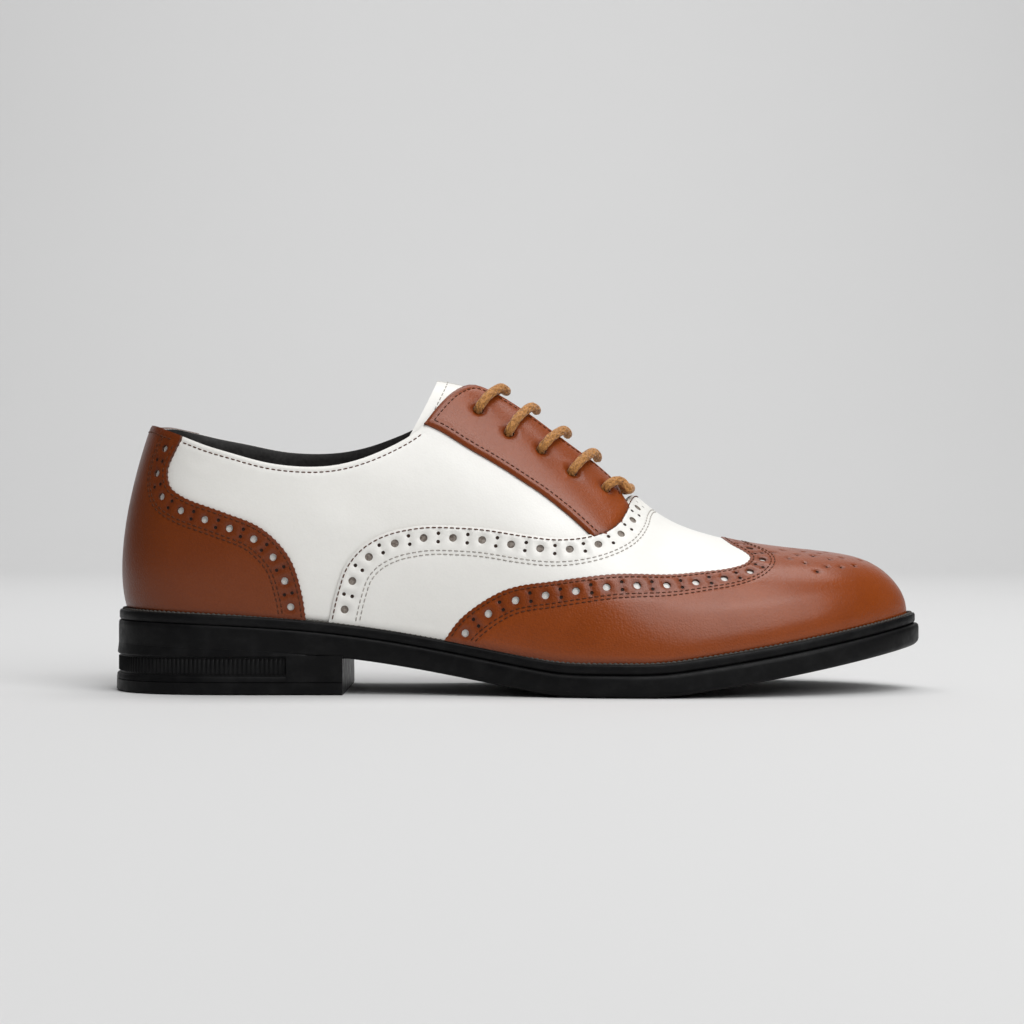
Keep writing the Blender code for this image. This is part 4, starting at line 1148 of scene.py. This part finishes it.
class SHOE_OT_stage(bpy.types.Operator):
    """Put up the pale floor, the soft lights and the camera"""

    bl_idname = "shoe.stage"
    bl_label = "Stage"

    def execute(self, context):
        colours = context.scene.shoe_colours
        material, tree, shader = new_material("studio paper", tuple(colours.floor), 0.9)
        wear = spread(tree, noise(tree, 3, 2), 0.3, 0.7, 0, 0.03)
        tree.links.new(blend(tree, wear, (*colours.floor, 1), darker(colours.floor, 0.8)),
                       shader.inputs["Base Color"])
        front, start, radius, top, wide, steps = -1.2, 1.7, 0.9, 3.2, 4.0, 12
        profile = [(front, 0.0), (0.0, 0.0), (start, 0.0)]
        for k in range(1, steps + 1):
            angle = math.pi / 2 * k / steps
            profile.append((start + radius * math.sin(angle), radius * (1 - math.cos(angle))))
        profile.append((start + radius, top))
        shape = bmesh.new()
        left = [shape.verts.new((-wide, y, z)) for y, z in profile]
        right = [shape.verts.new((wide, y, z)) for y, z in profile]
        for k in range(len(profile) - 1):
            shape.faces.new((left[k], right[k], right[k + 1], left[k + 1]))
        mesh = bpy.data.meshes.new("studio_floor")
        shape.to_mesh(mesh)
        shape.free()
        mesh.shade_smooth()
        mesh.materials.append(material)
        floor = bpy.data.objects.new("studio_floor", mesh)
        context.scene.collection.objects.link(floor)

        add_light("overhead", (0.25, -0.55, 1.45), (0, 0, 0.03), 0.9, 10.5)
        add_light("front", (0.85, -1.30, 1.20), (0, 0, 0.03), 1.5, 22.0)
        add_light("backdrop_wash", (0.0, 0.9, 2.2), (0, 2.6, 0.3), 2.0, 47.0)
        world = bpy.data.worlds.new("studio")
        world.use_nodes = True
        background = world.node_tree.nodes["Background"].inputs
        background["Color"].default_value = (1, 1, 1, 1)
        background["Strength"].default_value = 0.08
        context.scene.world = world
        context.scene.view_settings.view_transform = "Standard"

        lens = bpy.data.cameras.new("camera")
        lens.lens = 83.8
        lens.sensor_width = 36
        lens.clip_start = 0.01
        camera = bpy.data.objects.new("camera", lens)
        camera.location = (-0.0023, -0.8991, 0.0665)
        camera.rotation_euler = (math.pi / 2, 0, 0)
        context.scene.collection.objects.link(camera)
        context.scene.camera = camera
        return {"FINISHED"}


def add_light(name, place, aim, size, power):
    """A square soft light aimed at a point."""
    light = bpy.data.lights.new(name, "AREA")
    light.shape = "SQUARE"
    light.size = size
    light.energy = power
    lamp = bpy.data.objects.new(name, light)
    lamp.location = place
    way = np.array(aim) - np.array(place)
    lamp.rotation_euler = (math.acos(-way[2] / np.linalg.norm(way)), 0,
                           math.atan2(way[1], way[0]) - math.pi / 2)
    bpy.context.scene.collection.objects.link(lamp)
    return lamp


FINE_SOLE = np.arange(0, 8 * TIP + 1) / 8


def edge_row(side, stations, inset, height):
    """A row of points along one side of the sole, at a height over the tread's underside."""
    x, y = sole_outline(side, stations, inset)
    return np.stack((x, y, underside(x) + height), axis=1)


def sole_ring(stations, inset, height, floor=False):
    """One closed level of the sole, along the outer side and back along the inner."""
    there = edge_row(LATERAL, stations, inset, height)
    back = edge_row(MEDIAL, stations, inset, height)
    if floor:
        there[:, 2] = height
        back[:, 2] = height
    return np.vstack((there, back[::-1]))


def heel_taper(stations):
    """How far the sole's edge leans in over the heel's foot."""
    return HEEL_FLARE * (1 - read("fore", stations))


def welt_line(stations):
    """How far the welt's edge lies inside the sole's outline."""
    return heel_taper(stations) + HEEL_SETBACK + (WELT_SETBACK - HEEL_SETBACK) * read("fore", stations)


def loft(shape, levels, material_index=0):
    """Join closed levels of points by faces."""
    rings = [[shape.verts.new(place) for place in level] for level in levels]
    for low, high in zip(rings, rings[1:]):
        for k in range(len(low)):
            n = (k + 1) % len(low)
            face = shape.faces.new((low[k], low[n], high[n], high[k]))
            face.material_index = material_index
    return rings


def close(shape, ring, up, material_index=0):
    """Close a level with strips from the outer side to the inner."""
    count = len(ring) // 2
    there, back = ring[:count], ring[:count - 1:-1]
    for k in range(count - 1):
        order = (there[k], there[k + 1], back[k + 1], back[k])
        face = shape.faces.new(order if up else order[::-1])
        face.material_index = material_index


def welded(shape):
    """Weld a sole piece and point its faces outwards."""
    bmesh.ops.remove_doubles(shape, verts=shape.verts[:], dist=WELD)
    bmesh.ops.recalc_face_normals(shape, faces=shape.faces[:])


def sharpened(piece, degrees):
    """Smooth shading, with corners over an angle kept sharp."""
    piece.data.set_sharp_from_angle(angle=math.radians(degrees))
    return piece


def level_tread(name, shape):
    """Turn a tread's faces down and make it a piece of the sole."""
    for face in shape.faces:
        face.normal_update()
        if face.normal.z > 0.2:
            face.normal_flip()
    tread = finish_piece(name, shape, [finish("tread"), finish("tread")])
    return declare(sharpened(tread, 30), "sole")


def tread_grid(shape, x_start, x_end, inset, pitch, groove, depth, height, columns=20):
    """The underside's tread: bars across the sole with grooves between, as rows of points."""
    count = round((x_end - x_start) / pitch)
    step = (x_end - x_start) / count
    slope = groove * 0.25
    rows = [(x_start, 0)]
    for k in range(count):
        first = x_start + k * step + step / 2 - groove / 2
        last = x_start + k * step + step / 2 + groove / 2
        rows += [(first, 0), (first + slope, depth), (last - slope, depth), (last, 0)]
    rows.append((x_end, 0))
    made = []
    for x, up in rows:
        station = station_at(x)
        _, y_out = sole_outline(LATERAL, station, inset)
        _, y_in = sole_outline(MEDIAL, station, inset)
        places = np.linspace(y_out, y_in, columns)
        rises = np.full(columns, up)
        rises[[0, -1]] = 0
        made.append([shape.verts.new((x, y, height(x) + rise)) for y, rise in zip(places, rises)])
    for low, high in zip(made, made[1:]):
        for k in range(columns - 1):
            face = shape.faces.new((low[k], low[k + 1], high[k + 1], high[k]))
            face.material_index = 1


class SHOE_OT_outsole(bpy.types.Operator):
    """Make the long sole with its rounded edge and its tread"""

    bl_idname = "shoe.outsole"
    bl_label = "Outsole"

    def execute(self, context):
        shape = bmesh.new()
        thick = OUTSOLE_THICKNESS
        foot = ((.0030, 0), (.0016, .0002), (.0007, .0008), (.0002, .0014), (0, .0022))
        head = ((0, thick - .0018), (.0002, thick - .0008), (.0008, thick - .0002), (.0016, thick),
                (.0085, thick + .0001))
        fore = read("fore", FINE_SOLE)
        lean = heel_taper(FINE_SOLE)
        over_heel = FINE_SOLE < station_at(BREAST)
        sink = np.where(over_heel, SEAM_GAP * 0.95, 0)
        levels = [sole_ring(FINE_SOLE, lean + inset * fore, height - sink) for inset, height in foot]
        levels += [sole_ring(FINE_SOLE, lean + inset * (0.35 + 0.65 * fore), height)
                   for inset, height in head]
        rings = loft(shape, levels)
        close(shape, rings[0], False, 1)
        close(shape, rings[-1], True)
        welded(shape)
        piece = finish_piece("outsole_edge", shape, [finish("sole"), finish("tread")])
        declare(sharpened(piece, 40), "sole", "outsole")

        shape = bmesh.new()
        tread_grid(shape, BREAST + 0.012, SOLE_LENGTH / 2 - 0.016, 0.0075, 0.0062, 0.0022, 0.0009,
                   lambda x: float(underside(x)) - 0.00005)
        bmesh.ops.recalc_face_normals(shape, faces=shape.faces[:])
        level_tread("forefoot_tread", shape)
        return {"FINISHED"}


class SHOE_OT_heel(bpy.types.Operator):
    """Make the heel block with its ribbed band and its top lift"""

    bl_idname = "shoe.heel"
    bl_label = "Heel"

    def execute(self, context):
        breast = float(station_at(BREAST))
        band_end = float(station_at(HEEL_LENGTH - BAND_TO_BREAST - SOLE_LENGTH / 2))
        fine = np.linspace(0, band_end, 600)
        x, y = sole_outline(LATERAL, fine, 0)
        lengths = np.concatenate(((0,), np.cumsum(np.hypot(np.diff(x), np.diff(y)))))
        ribs = round(lengths[-1] / RIB_PITCH)
        steps = np.linspace(0, lengths[-1], 6 * ribs + 1)
        ribbed = np.interp(steps, lengths, fine)
        wave = 0.5 - 0.5 * np.cos(2 * math.pi * np.arange(len(ribbed)) / 6)
        plain = np.linspace(band_end, breast, 24)[1:]
        stations = np.concatenate((ribbed, (band_end + 0.004,), plain))
        bulge = np.concatenate((RIB_DEPTH * wave - BAND_DEPTH, np.zeros(len(plain) + 1)))
        flush = np.zeros(len(stations))
        rim = np.where(bulge < 0, -BAND_DEPTH, 0)
        flare = HEEL_FLARE / 2
        low, high = BAND_BOTTOM, BAND_BOTTOM + BAND_HEIGHT
        rows = (
            (0.0012, 0.0, flush), (0.0004, 0.0002, flush), (0.0000, 0.0007, flush),
            (0.0001, 0.0044, flush), (0.0004, 0.0046, flush), (0.0001, 0.0048, flush),
            (flare * 0.7, low - 0.0004, flush), (flare, low, rim * 0.3), (flare, low + 0.0002, rim),
            (flare, low + 0.0008, rim), (flare, low + 0.0010, bulge), (flare, high - 0.0010, bulge),
            (flare, high - 0.0008, rim), (flare, high - 0.0002, rim), (flare, high, rim * 0.3),
            (flare, high + 0.0004, flush),
        )
        shape = bmesh.new()
        levels = [sole_ring(stations, inset - out, height, floor=True) for inset, height, out in rows]
        levels.append(sole_ring(stations, heel_taper(stations), -SEAM_GAP))
        rings = loft(shape, levels)
        close(shape, rings[-1], True)
        close(shape, rings[0], False, 1)
        welded(shape)
        piece = finish_piece("heel_block", shape, [finish("sole"), finish("tread")])
        declare(sharpened(piece, 38), "sole", "heel")

        shape = bmesh.new()
        tread_grid(shape, -SOLE_LENGTH / 2 + 0.010, BREAST - 0.004, 0.004, 0.0058, 0.0020, 0.0008,
                   lambda x: 0.00002)
        level_tread("heel_tread", shape)
        return {"FINISHED"}


class SHOE_OT_welt(bpy.types.Operator):
    """Make the welt with its stitches"""

    bl_idname = "shoe.welt"
    bl_label = "Welt"

    def execute(self, context):
        outer = welt_line(FINE_SOLE)
        profile = ((.0009, -.0003), (.0003, .0001), (.0000, .0007), (.0000, WELT_THICKNESS - .0008),
                   (.0003, WELT_THICKNESS - .0002), (.0009, WELT_THICKNESS), (.0052, WELT_THICKNESS),
                   (.0058, WELT_THICKNESS - .0006))
        shape = bmesh.new()
        loft(shape, [sole_ring(FINE_SOLE, outer + inset, WELT_FOOT + height)
                     for inset, height in profile])
        welded(shape)
        piece = finish_piece("welt_strip", shape, [finish("sole")])
        declare(sharpened(piece, 50), "welt", "welt")

        rows = []
        for side in SIDES:
            stations = np.linspace(0, TIP, 400)
            rows.append(edge_row(side, stations, welt_line(stations) + 0.0016, BED))
        sew_level("welt_stitches", rows, WELT_STITCH, "welt thread", "welt")
        return {"FINISHED"}


class SHOE_OT_insole(bpy.types.Operator):
    """Make the insole with its soft crown"""

    bl_idname = "shoe.insole"
    bl_label = "Insole"

    def execute(self, context):
        inset = WELT_MARGIN * read("margin", FINE_SOLE) + UPPER_WALL + 0.0004
        foot = BED + 0.0003
        shape = bmesh.new()
        profile = ((0, 0), (0, .0016), (.0006, .0023), (.0020, .0027), (.0060, .0029), (.0120, .0030))
        levels = []
        for more, height in profile:
            room = np.minimum(more, np.minimum(half_width(LATERAL, FINE_SOLE)[0],
                                               half_width(MEDIAL, FINE_SOLE)[0]) * 0.3)
            levels.append(sole_ring(FINE_SOLE, inset + room, foot + height))
        rings = loft(shape, levels)
        close(shape, rings[0], False)
        close(shape, rings[-1], True)
        welded(shape)
        piece = finish_piece("insole_sock", shape, [finish("insole")])
        declare(piece, "insole", "insole")
        return {"FINISHED"}


class SHOE_OT_quarter(bpy.types.Operator):
    """Make the upper's white leather, its lining and its bound topline"""

    bl_idname = "shoe.quarter"
    bl_label = "Quarter and lining"

    def execute(self, context):
        patterns = []
        linings = []
        rows = []
        for side in SIDES:
            border = upper_border(side)
            holes = loops_at(side, np.array(EYELETS), [UPPER_EYELET] * len(EYELETS), 16)
            edge = even_steps(side, top_run(side, 0.3, 8.0), 0.001)
            row = shifted(side, edge, -0.0021)
            row = row[(row[:, 0] > 3.05) & (row[:, 0] < FACING_CORNER + 0.02)]
            guides = [shifted(side, edge, -0.0008), row,
                      *(shifted(side, row, away) for away in (0.0006, -0.0006, -0.0014))]
            rows.append((side, row))
            patterns.append(Pattern(side, border, holes, guides, [row]))
            linings.append(Pattern(side, border, [], [shifted(side, edge, -0.0008)], []))
        outer = leather("quarter_leather", patterns, 0.0, -UPPER_WALL * 0.55,
                        [finish("white leather"), finish("white leather")], round_off=0.0006,
                        round_width=0.0007, row_depth=0.0003)
        declare(outer, "white_leather", "upper")
        inner = leather("lining", linings, -UPPER_WALL, -UPPER_WALL * 0.5,
                        [finish("lining"), finish("lining")], round_off=-0.0006,
                        round_width=0.0007, step=0.0026, inward=True)
        declare(inner, "insole")
        sew("collar_stitches", rows, -0.00025, "brown thread", "white_leather")
        return {"FINISHED"}


def under_wing(side, places):
    """How far the vamp gives way under the wing cap, past a narrow slope along its seam."""
    seam = wing_line(side)
    away = gaps_to_lines(places, [seam], False)
    share = np.clip((away - 0.0008) / 0.0018, 0, 1)
    return np.where(inside(places, [ahead_of(seam)]), WING_SINK * share * share * (3 - 2 * share), 0)


def swan_line(side):
    """The vamp's back edge, evenly stepped from the welt to the ridge."""
    return foot_to_ridge(even_steps(side, smooth_line(SWAN_SEAM), 0.0010))


class SHOE_OT_vamp(bpy.types.Operator):
    """Make the white vamp with its brogued band round the throat"""

    bl_idname = "shoe.vamp"
    bl_label = "Vamp"

    def execute(self, context):
        sizes = context.scene.shoe_sizes
        patterns = []
        underlays = []
        edge_rows = []
        inner_rows = []
        small = []
        for side in SIDES:
            swan = swan_line(side)
            first, second, third = (trimmed(shifted(side, swan, -far)) for far in VAMP_BAND.rows)
            centre = foot_to_ridge(shifted(side, swan, -VAMP_BAND.middle))
            holes = brogue_holes(side, centre, sizes, VAMP_BAND.scale)
            small += small_ones(side, holes)
            guides = [shifted(side, swan, -0.0006), shifted(side, swan, -0.0010), first,
                      shifted(side, swan, -0.0019), shifted(side, swan, -0.0024), second, third,
                      shifted(side, second, 0.0005), shifted(side, third, 0.0007),
                      shifted(side, third, -0.0005)]
            guides = [trimmed(line) for line in guides]
            patterns.append(Pattern(side, ahead_of(swan), holes, guides, [first, second, third]))
            edge_rows.append((side, first))
            inner_rows += [(side, second), (side, third)]
            inner = foot_to_ridge(shifted(side, swan, -0.0086))
            outer = foot_to_ridge(shifted(side, swan, -0.0022))
            band = joined(along_wall(outer[0, 0], inner[0, 0], 0), inner,
                          along_wall(inner[-1, 0], outer[-1, 0], 1), outer[::-1])
            underlays.append(Pattern(side, band, [], [], []))
        vamp = leather("vamp_leather", patterns, VAMP_TOP, 0.0,
                       [finish("white leather"), finish("white edge")], round_off=0.0005,
                       sink=under_wing)
        declare(vamp, "white_leather", "vamp")
        under = leather("vamp_underlay", underlays, 0.0002, 0.0, [finish("underlay")], round_off=0,
                        step=0.003)
        declare(under, "white_leather")
        # Dark discs in the small holes: painted shade
        hole_shade_discs("vamp_pinhole_shade", small, VAMP_TOP - 0.0005, "white_leather")
        sew("vamp_edge_stitches", edge_rows, VAMP_TOP - 0.0001, "brown thread", "white_leather")
        sew("vamp_inner_stitches", inner_rows, VAMP_TOP - 0.0001, "grey thread", "white_leather")
        return {"FINISHED"}


# Half of the cap's medallion: holes by a place ahead of its start and across from the ridge, in
# millimetres
Pinhole = namedtuple("Pinhole", "ahead across width")
MEDALLION = (
    Pinhole(16, 4.1, 1.2), Pinhole(10, 6.2, 0.9), Pinhole(22, 6.2, 0.9), Pinhole(13, 10.8, 0.9),
    Pinhole(19, 10.8, 0.9), Pinhole(16, 15.4, 1.2), Pinhole(10, 16.7, 0.9), Pinhole(22, 16.7, 0.9),
    Pinhole(5, 12.2, 0.9), Pinhole(27, 12.2, 0.9), Pinhole(1, 17.0, 0.9), Pinhole(31, 17.0, 0.9),
    Pinhole(6.5, 21.6, 0.9), Pinhole(25.5, 21.6, 0.9), Pinhole(12, 23.8, 0.9), Pinhole(20, 23.8, 0.9),
    Pinhole(16, 28.4, 1.2), Pinhole(34.5, 8.1, 0.9), Pinhole(38, 4.1, 1.0),
)


# Stations along the ridge where the medallion starts and where the toe turns down
MEDALLION_RUN = (14.2, 18.6)


def medallion_holes(side):
    """The medallion's holes on one side."""
    marks = 60
    ridge = np.stack((np.linspace(*MEDALLION_RUN, marks), np.ones(marks)), axis=1)
    loops = []
    for hole in MEDALLION:
        station = at_lengths(side, ridge, (hole.ahead / 1000,))[0, 0]
        wall_line = np.stack((np.full(marks, station), np.linspace(1, 0.3, marks)), axis=1)
        place = at_lengths(side, wall_line, (hole.across / 1000,))
        loops += loops_at(side, place, [hole.width / 1000], SMALL_SIDES)
    return loops


class SHOE_OT_wing_cap(bpy.types.Operator):
    """Make the tan wing cap with its gimped edge, broguing and medallion"""

    bl_idname = "shoe.wing_cap"
    bl_label = "Wing cap"

    def execute(self, context):
        sizes = context.scene.shoe_sizes
        patterns = []
        rows = []
        small = []
        for side in SIDES:
            seam = wing_line(side)
            edge = foot_to_ridge(gimped(side, seam, sizes.scallop_pitch, sizes.scallop_depth))
            first, second, third = (trimmed(shifted(side, seam, -far)) for far in WING_BAND.rows)
            centre = foot_to_ridge(shifted(side, seam, -WING_BAND.middle))
            holes = brogue_holes(side, centre, sizes, WING_BAND.scale) + medallion_holes(side)
            small += small_ones(side, holes)
            guides = [trimmed(shifted(side, seam, -distance)) for distance in
                      (0.0007, 0.0019, 0.0025, 0.0074, 0.0087, 0.0100)]
            patterns.append(Pattern(side, ahead_of(edge), holes, [*guides, first, second, third],
                                    [first, second, third]))
            rows += [(side, first), (side, second), (side, third)]
        piece = leather("wing_cap_leather", patterns, WING_TOP, VAMP_TOP - WING_SINK - 0.0001,
                        [finish("tan leather"), finish("tan edge")])
        declare(piece, "tan_leather", "wing_cap")
        # Dark discs in the small holes: painted shade
        hole_shade_discs("wing_cap_pinhole_shade", small, WING_TOP - 0.0007, "tan_leather")
        sew("wing_cap_stitches", rows, WING_TOP - 0.0001, "brown thread", "tan_leather")
        return {"FINISHED"}


class SHOE_OT_counter(bpy.types.Operator):
    """Make the tan heel counter with its gimped front edge and broguing"""

    bl_idname = "shoe.counter"
    bl_label = "Heel counter"

    def execute(self, context):
        sizes = context.scene.shoe_sizes
        patterns = []
        rows = []
        small = []
        for side in SIDES:
            seam = even_steps(side, smooth_line(COUNTER_SEAM), 0.0009)
            seam[0] = (seam[0, 0], 0)
            edge = gimped(side, seam, sizes.scallop_pitch, sizes.scallop_depth)
            edge[0] = seam[0]
            top = top_run(side, 0, COUNTER_SEAM[-1].station)
            border = joined(along_wall(0, edge[0, 0], 0), edge, top[::-1],
                            along_station(0, TOPLINE[0].wall, 0))
            bound = even_steps(side, top, 0.0010)
            limit = np.interp(seam[:, 0], top[:, 0], top[:, 1])
            keep = seam[seam[:, 1] < limit - 0.035]
            first, second, third = (trimmed(shifted(side, line, far)) for line, far in
                                    zip((keep, seam, seam), COUNTER_BAND.rows))
            cut = TOPLINE[0].wall - 0.034
            second = second[second[:, 1] < cut]
            third = third[third[:, 1] < cut]
            top_row = shifted(side, bound, -0.0026)
            top_row = top_row[top_row[:, 0] < 2.92]
            centre = shifted(side, seam, COUNTER_BAND.middle)
            centre = centre[centre[:, 1] < cut - 0.012]
            centre[0] = (centre[0, 0], 0)
            holes = brogue_holes(side, centre, sizes, COUNTER_BAND.scale)
            small += small_ones(side, holes)
            guides = [trimmed(shifted(side, seam, distance)) for distance in (0.0007, 0.0019)]
            guides += [shifted(side, first, away) for away in (-0.0006, 0.0006)]
            guides += [shifted(side, second, -0.0006), shifted(side, third, 0.0006),
                       shifted(side, second, 0.0007), shifted(side, top_row, 0.0006),
                       shifted(side, top_row, -0.0006), shifted(side, bound, -0.0009)]
            patterns.append(Pattern(side, border, holes, [*guides, first, second, third, top_row],
                                    [first, second, third, top_row]))
            rows += [(side, first), (side, second), (side, third), (side, top_row)]
        # The counter wears the darker copy of the tan leather, painted shade
        piece = leather("counter_leather", patterns, COUNTER_TOP, -UPPER_WALL * 0.5,
                        [finish("shaded tan"), finish("tan edge")])
        declare(piece, "tan_leather", "heel_counter")
        # Dark discs in the small holes: painted shade
        hole_shade_discs("counter_pinhole_shade", small, COUNTER_TOP - 0.0007, "tan_leather")
        sew("counter_stitches", rows, COUNTER_TOP - 0.0001, "brown thread", "tan_leather")
        return {"FINISHED"}


class SHOE_OT_facings(bpy.types.Operator):
    """Make the two tan eyelet facings with their folded edges"""

    bl_idname = "shoe.facings"
    bl_label = "Eyelet facings"

    def execute(self, context):
        for side, node_name in ((LATERAL, "facing_lateral"), (MEDIAL, "facing_medial")):
            swan = shifted(side, even_steps(side, smooth_line(SWAN_SEAM), 0.0012), -0.0020)
            front = swan[(swan[:, 0] > FACING_FOOT) & (swan[:, 1] < TOPLINE[-1].wall - 0.01)]
            top = top_run(side, FACING_CORNER, TOPLINE[-1].station - 0.04)
            low = smooth_line([Mark(*top[0]), *FACING_SEAM, Mark(*front[0])])
            low = shifted(side, low, -0.0008 * np.sin(np.linspace(0, math.pi, len(low))))
            border = joined(low, front, top[::-1])
            holes = loops_at(side, np.array(EYELETS), [FACING_EYELET] * len(EYELETS), 18)
            low_even = even_steps(side, low, 0.0010)
            top_even = even_steps(side, top, 0.0010)
            low_row = shifted(side, low_even, 0.0026)[2:]
            top_row = shifted(side, top_even, -0.0023)[2:]
            guides = [shifted(side, line, way * far)[1:] for line, way in ((low_even, 1), (top_even, -1))
                      for far in (0.0006, 0.0011, 0.0017, 0.0023, 0.0029)]
            for scale in (1.35, 1.8):
                guides += loops_at(side, np.array(EYELETS), [FACING_EYELET * scale] * len(EYELETS), 18)
            guides = [line[inside(line, [border])] for line in guides]
            low_row = low_row[inside(low_row, [border])]
            top_row = top_row[inside(top_row, [border])]
            pattern = Pattern(side, border, holes, guides, [low_row, top_row])
            name = "facing_leather_outer" if side < 0 else "facing_leather_inner"
            piece = leather(name, [pattern], FACING_TOP, -UPPER_WALL * 0.5,
                            [finish("tan leather"), finish("tan leather")], round_off=0.0006,
                            round_width=0.0007)
            declare(piece, "tan_leather", node_name)
            sew(name.replace("leather", "stitches"), [(side, low_row), (side, top_row)],
                FACING_TOP - 0.0001, "brown thread", "tan_leather")
        return {"FINISHED"}


class SHOE_OT_tongue(bpy.types.Operator):
    """Make the white tongue under the laces, with its stitched edge"""

    bl_idname = "shoe.tongue"
    bl_label = "Tongue"

    def execute(self, context):
        edge = np.array(TONGUE_EDGE)[::-1]
        rows, columns = 90, 61
        crowns = np.linspace(edge[-1, 0], edge[0, 0], rows)
        edges = np.interp(crowns, edge[:, 0], edge[:, 1])
        across = np.linspace(-1, 1, columns)
        climb = (edge[-1, 0] - crowns) / (edge[-1, 0] - edge[0, 0])
        stations = crowns[:, None] - TONGUE_LEAN * climb[:, None] ** 2 * across ** 2
        walls = 1 - (1 - edges[:, None]) * np.abs(across)
        depth = UPPER_WALL + TONGUE_CLEARANCE
        sides = np.where(across <= 0, LATERAL, MEDIAL)
        middle = columns // 2
        faces_out = []
        for lift in (-depth, -depth - TONGUE_WALL):
            places = on_last(sides, stations, walls, lift, closed=True, worn=False)
            both = on_last(MEDIAL, stations[:, middle], walls[:, middle], lift, closed=True, worn=False)
            places[:, middle] = (places[:, middle] + both) / 2
            faces_out.append(places)
        shape = bmesh.new()
        sheets = [[[shape.verts.new(place) for place in row] for row in places] for places in faces_out]
        for number, sheet in enumerate(sheets):
            for low, high in zip(sheet, sheet[1:]):
                for k in range(columns - 1):
                    order = (low[k], low[k + 1], high[k + 1], high[k])
                    face = shape.faces.new(order if number else order[::-1])
                    face.material_index = number
        outline = [(r, 0) for r in range(rows)] + [(rows - 1, c) for c in range(1, columns)]
        outline += [(r, columns - 1) for r in range(rows - 2, -1, -1)]
        outline += [(0, c) for c in range(columns - 2, 0, -1)]
        for (r, c), (r2, c2) in zip(outline, outline[1:] + outline[:1]):
            face = shape.faces.new((sheets[0][r][c], sheets[0][r2][c2],
                                    sheets[1][r2][c2], sheets[1][r][c]))
            face.material_index = 2
        bmesh.ops.recalc_face_normals(shape, faces=shape.faces[:])
        piece = finish_piece("tongue_leather", shape,
                             [finish("white leather"), finish("lining"), finish("white edge")])
        declare(sharpened(piece, 40), "white_leather", "tongue")
        top = faces_out[0]
        inset = int(columns * 0.07)
        line = [top[r, inset] for r in range(8, rows - 4)]
        line += [top[rows - 5, c] for c in range(inset + 1, columns - inset)]
        line += [top[r, columns - 1 - inset] for r in range(rows - 6, 7, -1)]
        sew_level("tongue_stitches", [np.array(line)], TONGUE_STITCH, "grey thread", "white_leather")
        return {"FINISHED"}


class SHOE_OT_laces(bpy.types.Operator):
    """Run the round lace across the throat and down through the eyelets"""

    bl_idname = "shoe.laces"
    bl_label = "Laces"

    def execute(self, context):
        radius = context.scene.shoe_sizes.lace / 2
        toplines = {side: topline(side) for side in SIDES}
        for number, eyelet in enumerate(EYELETS, 1):
            halves = []
            for side, line in toplines.items():
                knots = [on_last(side, eyelet.station, eyelet.wall, lift, worn=False)
                         for lift in (-0.0030, -0.0012)]
                for knot in LACE_KNOTS:
                    station = eyelet.station + LACE_LEAN * math.sin(knot.reach * math.pi / 4)
                    edge = np.interp(station, line[:, 0], line[:, 1])
                    wall = np.interp(knot.reach, (0, 1, 2), (eyelet.wall, edge, 1))
                    knots.append(on_last(side, station, wall, LACE_RIDE * knot.height, worn=False))
                halves.append(knots)
            crown = (halves[0][-1] + halves[1][-1]) / 2
            path = curve_through([*halves[0][:-1], crown, *halves[1][-2::-1]], 0.00035)
            middle = path.mean(axis=0) - np.array((0.02, 0, 0.02))
            braided(f"lace_{number}", path, unit(path - middle), radius, "lace", f"lace_bar_{number}")
        return {"FINISHED"}


OPERATORS = (
    SHOE_OT_stage, SHOE_OT_outsole, SHOE_OT_heel, SHOE_OT_welt, SHOE_OT_insole, SHOE_OT_quarter,
    SHOE_OT_vamp, SHOE_OT_wing_cap, SHOE_OT_counter, SHOE_OT_facings, SHOE_OT_tongue, SHOE_OT_laces,
)


class SHOE_PT_panel(bpy.types.Panel):
    """Sizes, colours and pieces of the shoe"""

    bl_idname = "SHOE_PT_panel"
    bl_label = "Spectator Shoe"
    bl_space_type = "VIEW_3D"
    bl_region_type = "UI"
    bl_category = "Shoe"

    def draw(self, context):
        for group in (context.scene.shoe_sizes, context.scene.shoe_colours):
            box = self.layout.box()
            for name in group.__annotations__:
                box.prop(group, name)
        for operator in OPERATORS:
            self.layout.operator(operator.bl_idname)


CLASSES = (ShoeSizes, ShoeColours, *OPERATORS, SHOE_PT_panel)


def register():
    """Make the classes and settings known to Blender."""
    for item in CLASSES:
        bpy.utils.register_class(item)
    bpy.types.Scene.shoe_sizes = PointerProperty(type=ShoeSizes)
    bpy.types.Scene.shoe_colours = PointerProperty(type=ShoeColours)


def unregister():
    """Take the classes and settings away again."""
    del bpy.types.Scene.shoe_colours
    del bpy.types.Scene.shoe_sizes
    for item in reversed(CLASSES):
        bpy.utils.unregister_class(item)


def main():
    """Make every piece in order."""
    register()
    for operator in OPERATORS:
        group, name = operator.bl_idname.split(".")
        getattr(getattr(bpy.ops, group), name)()


if __name__ == "__main__":
    main()
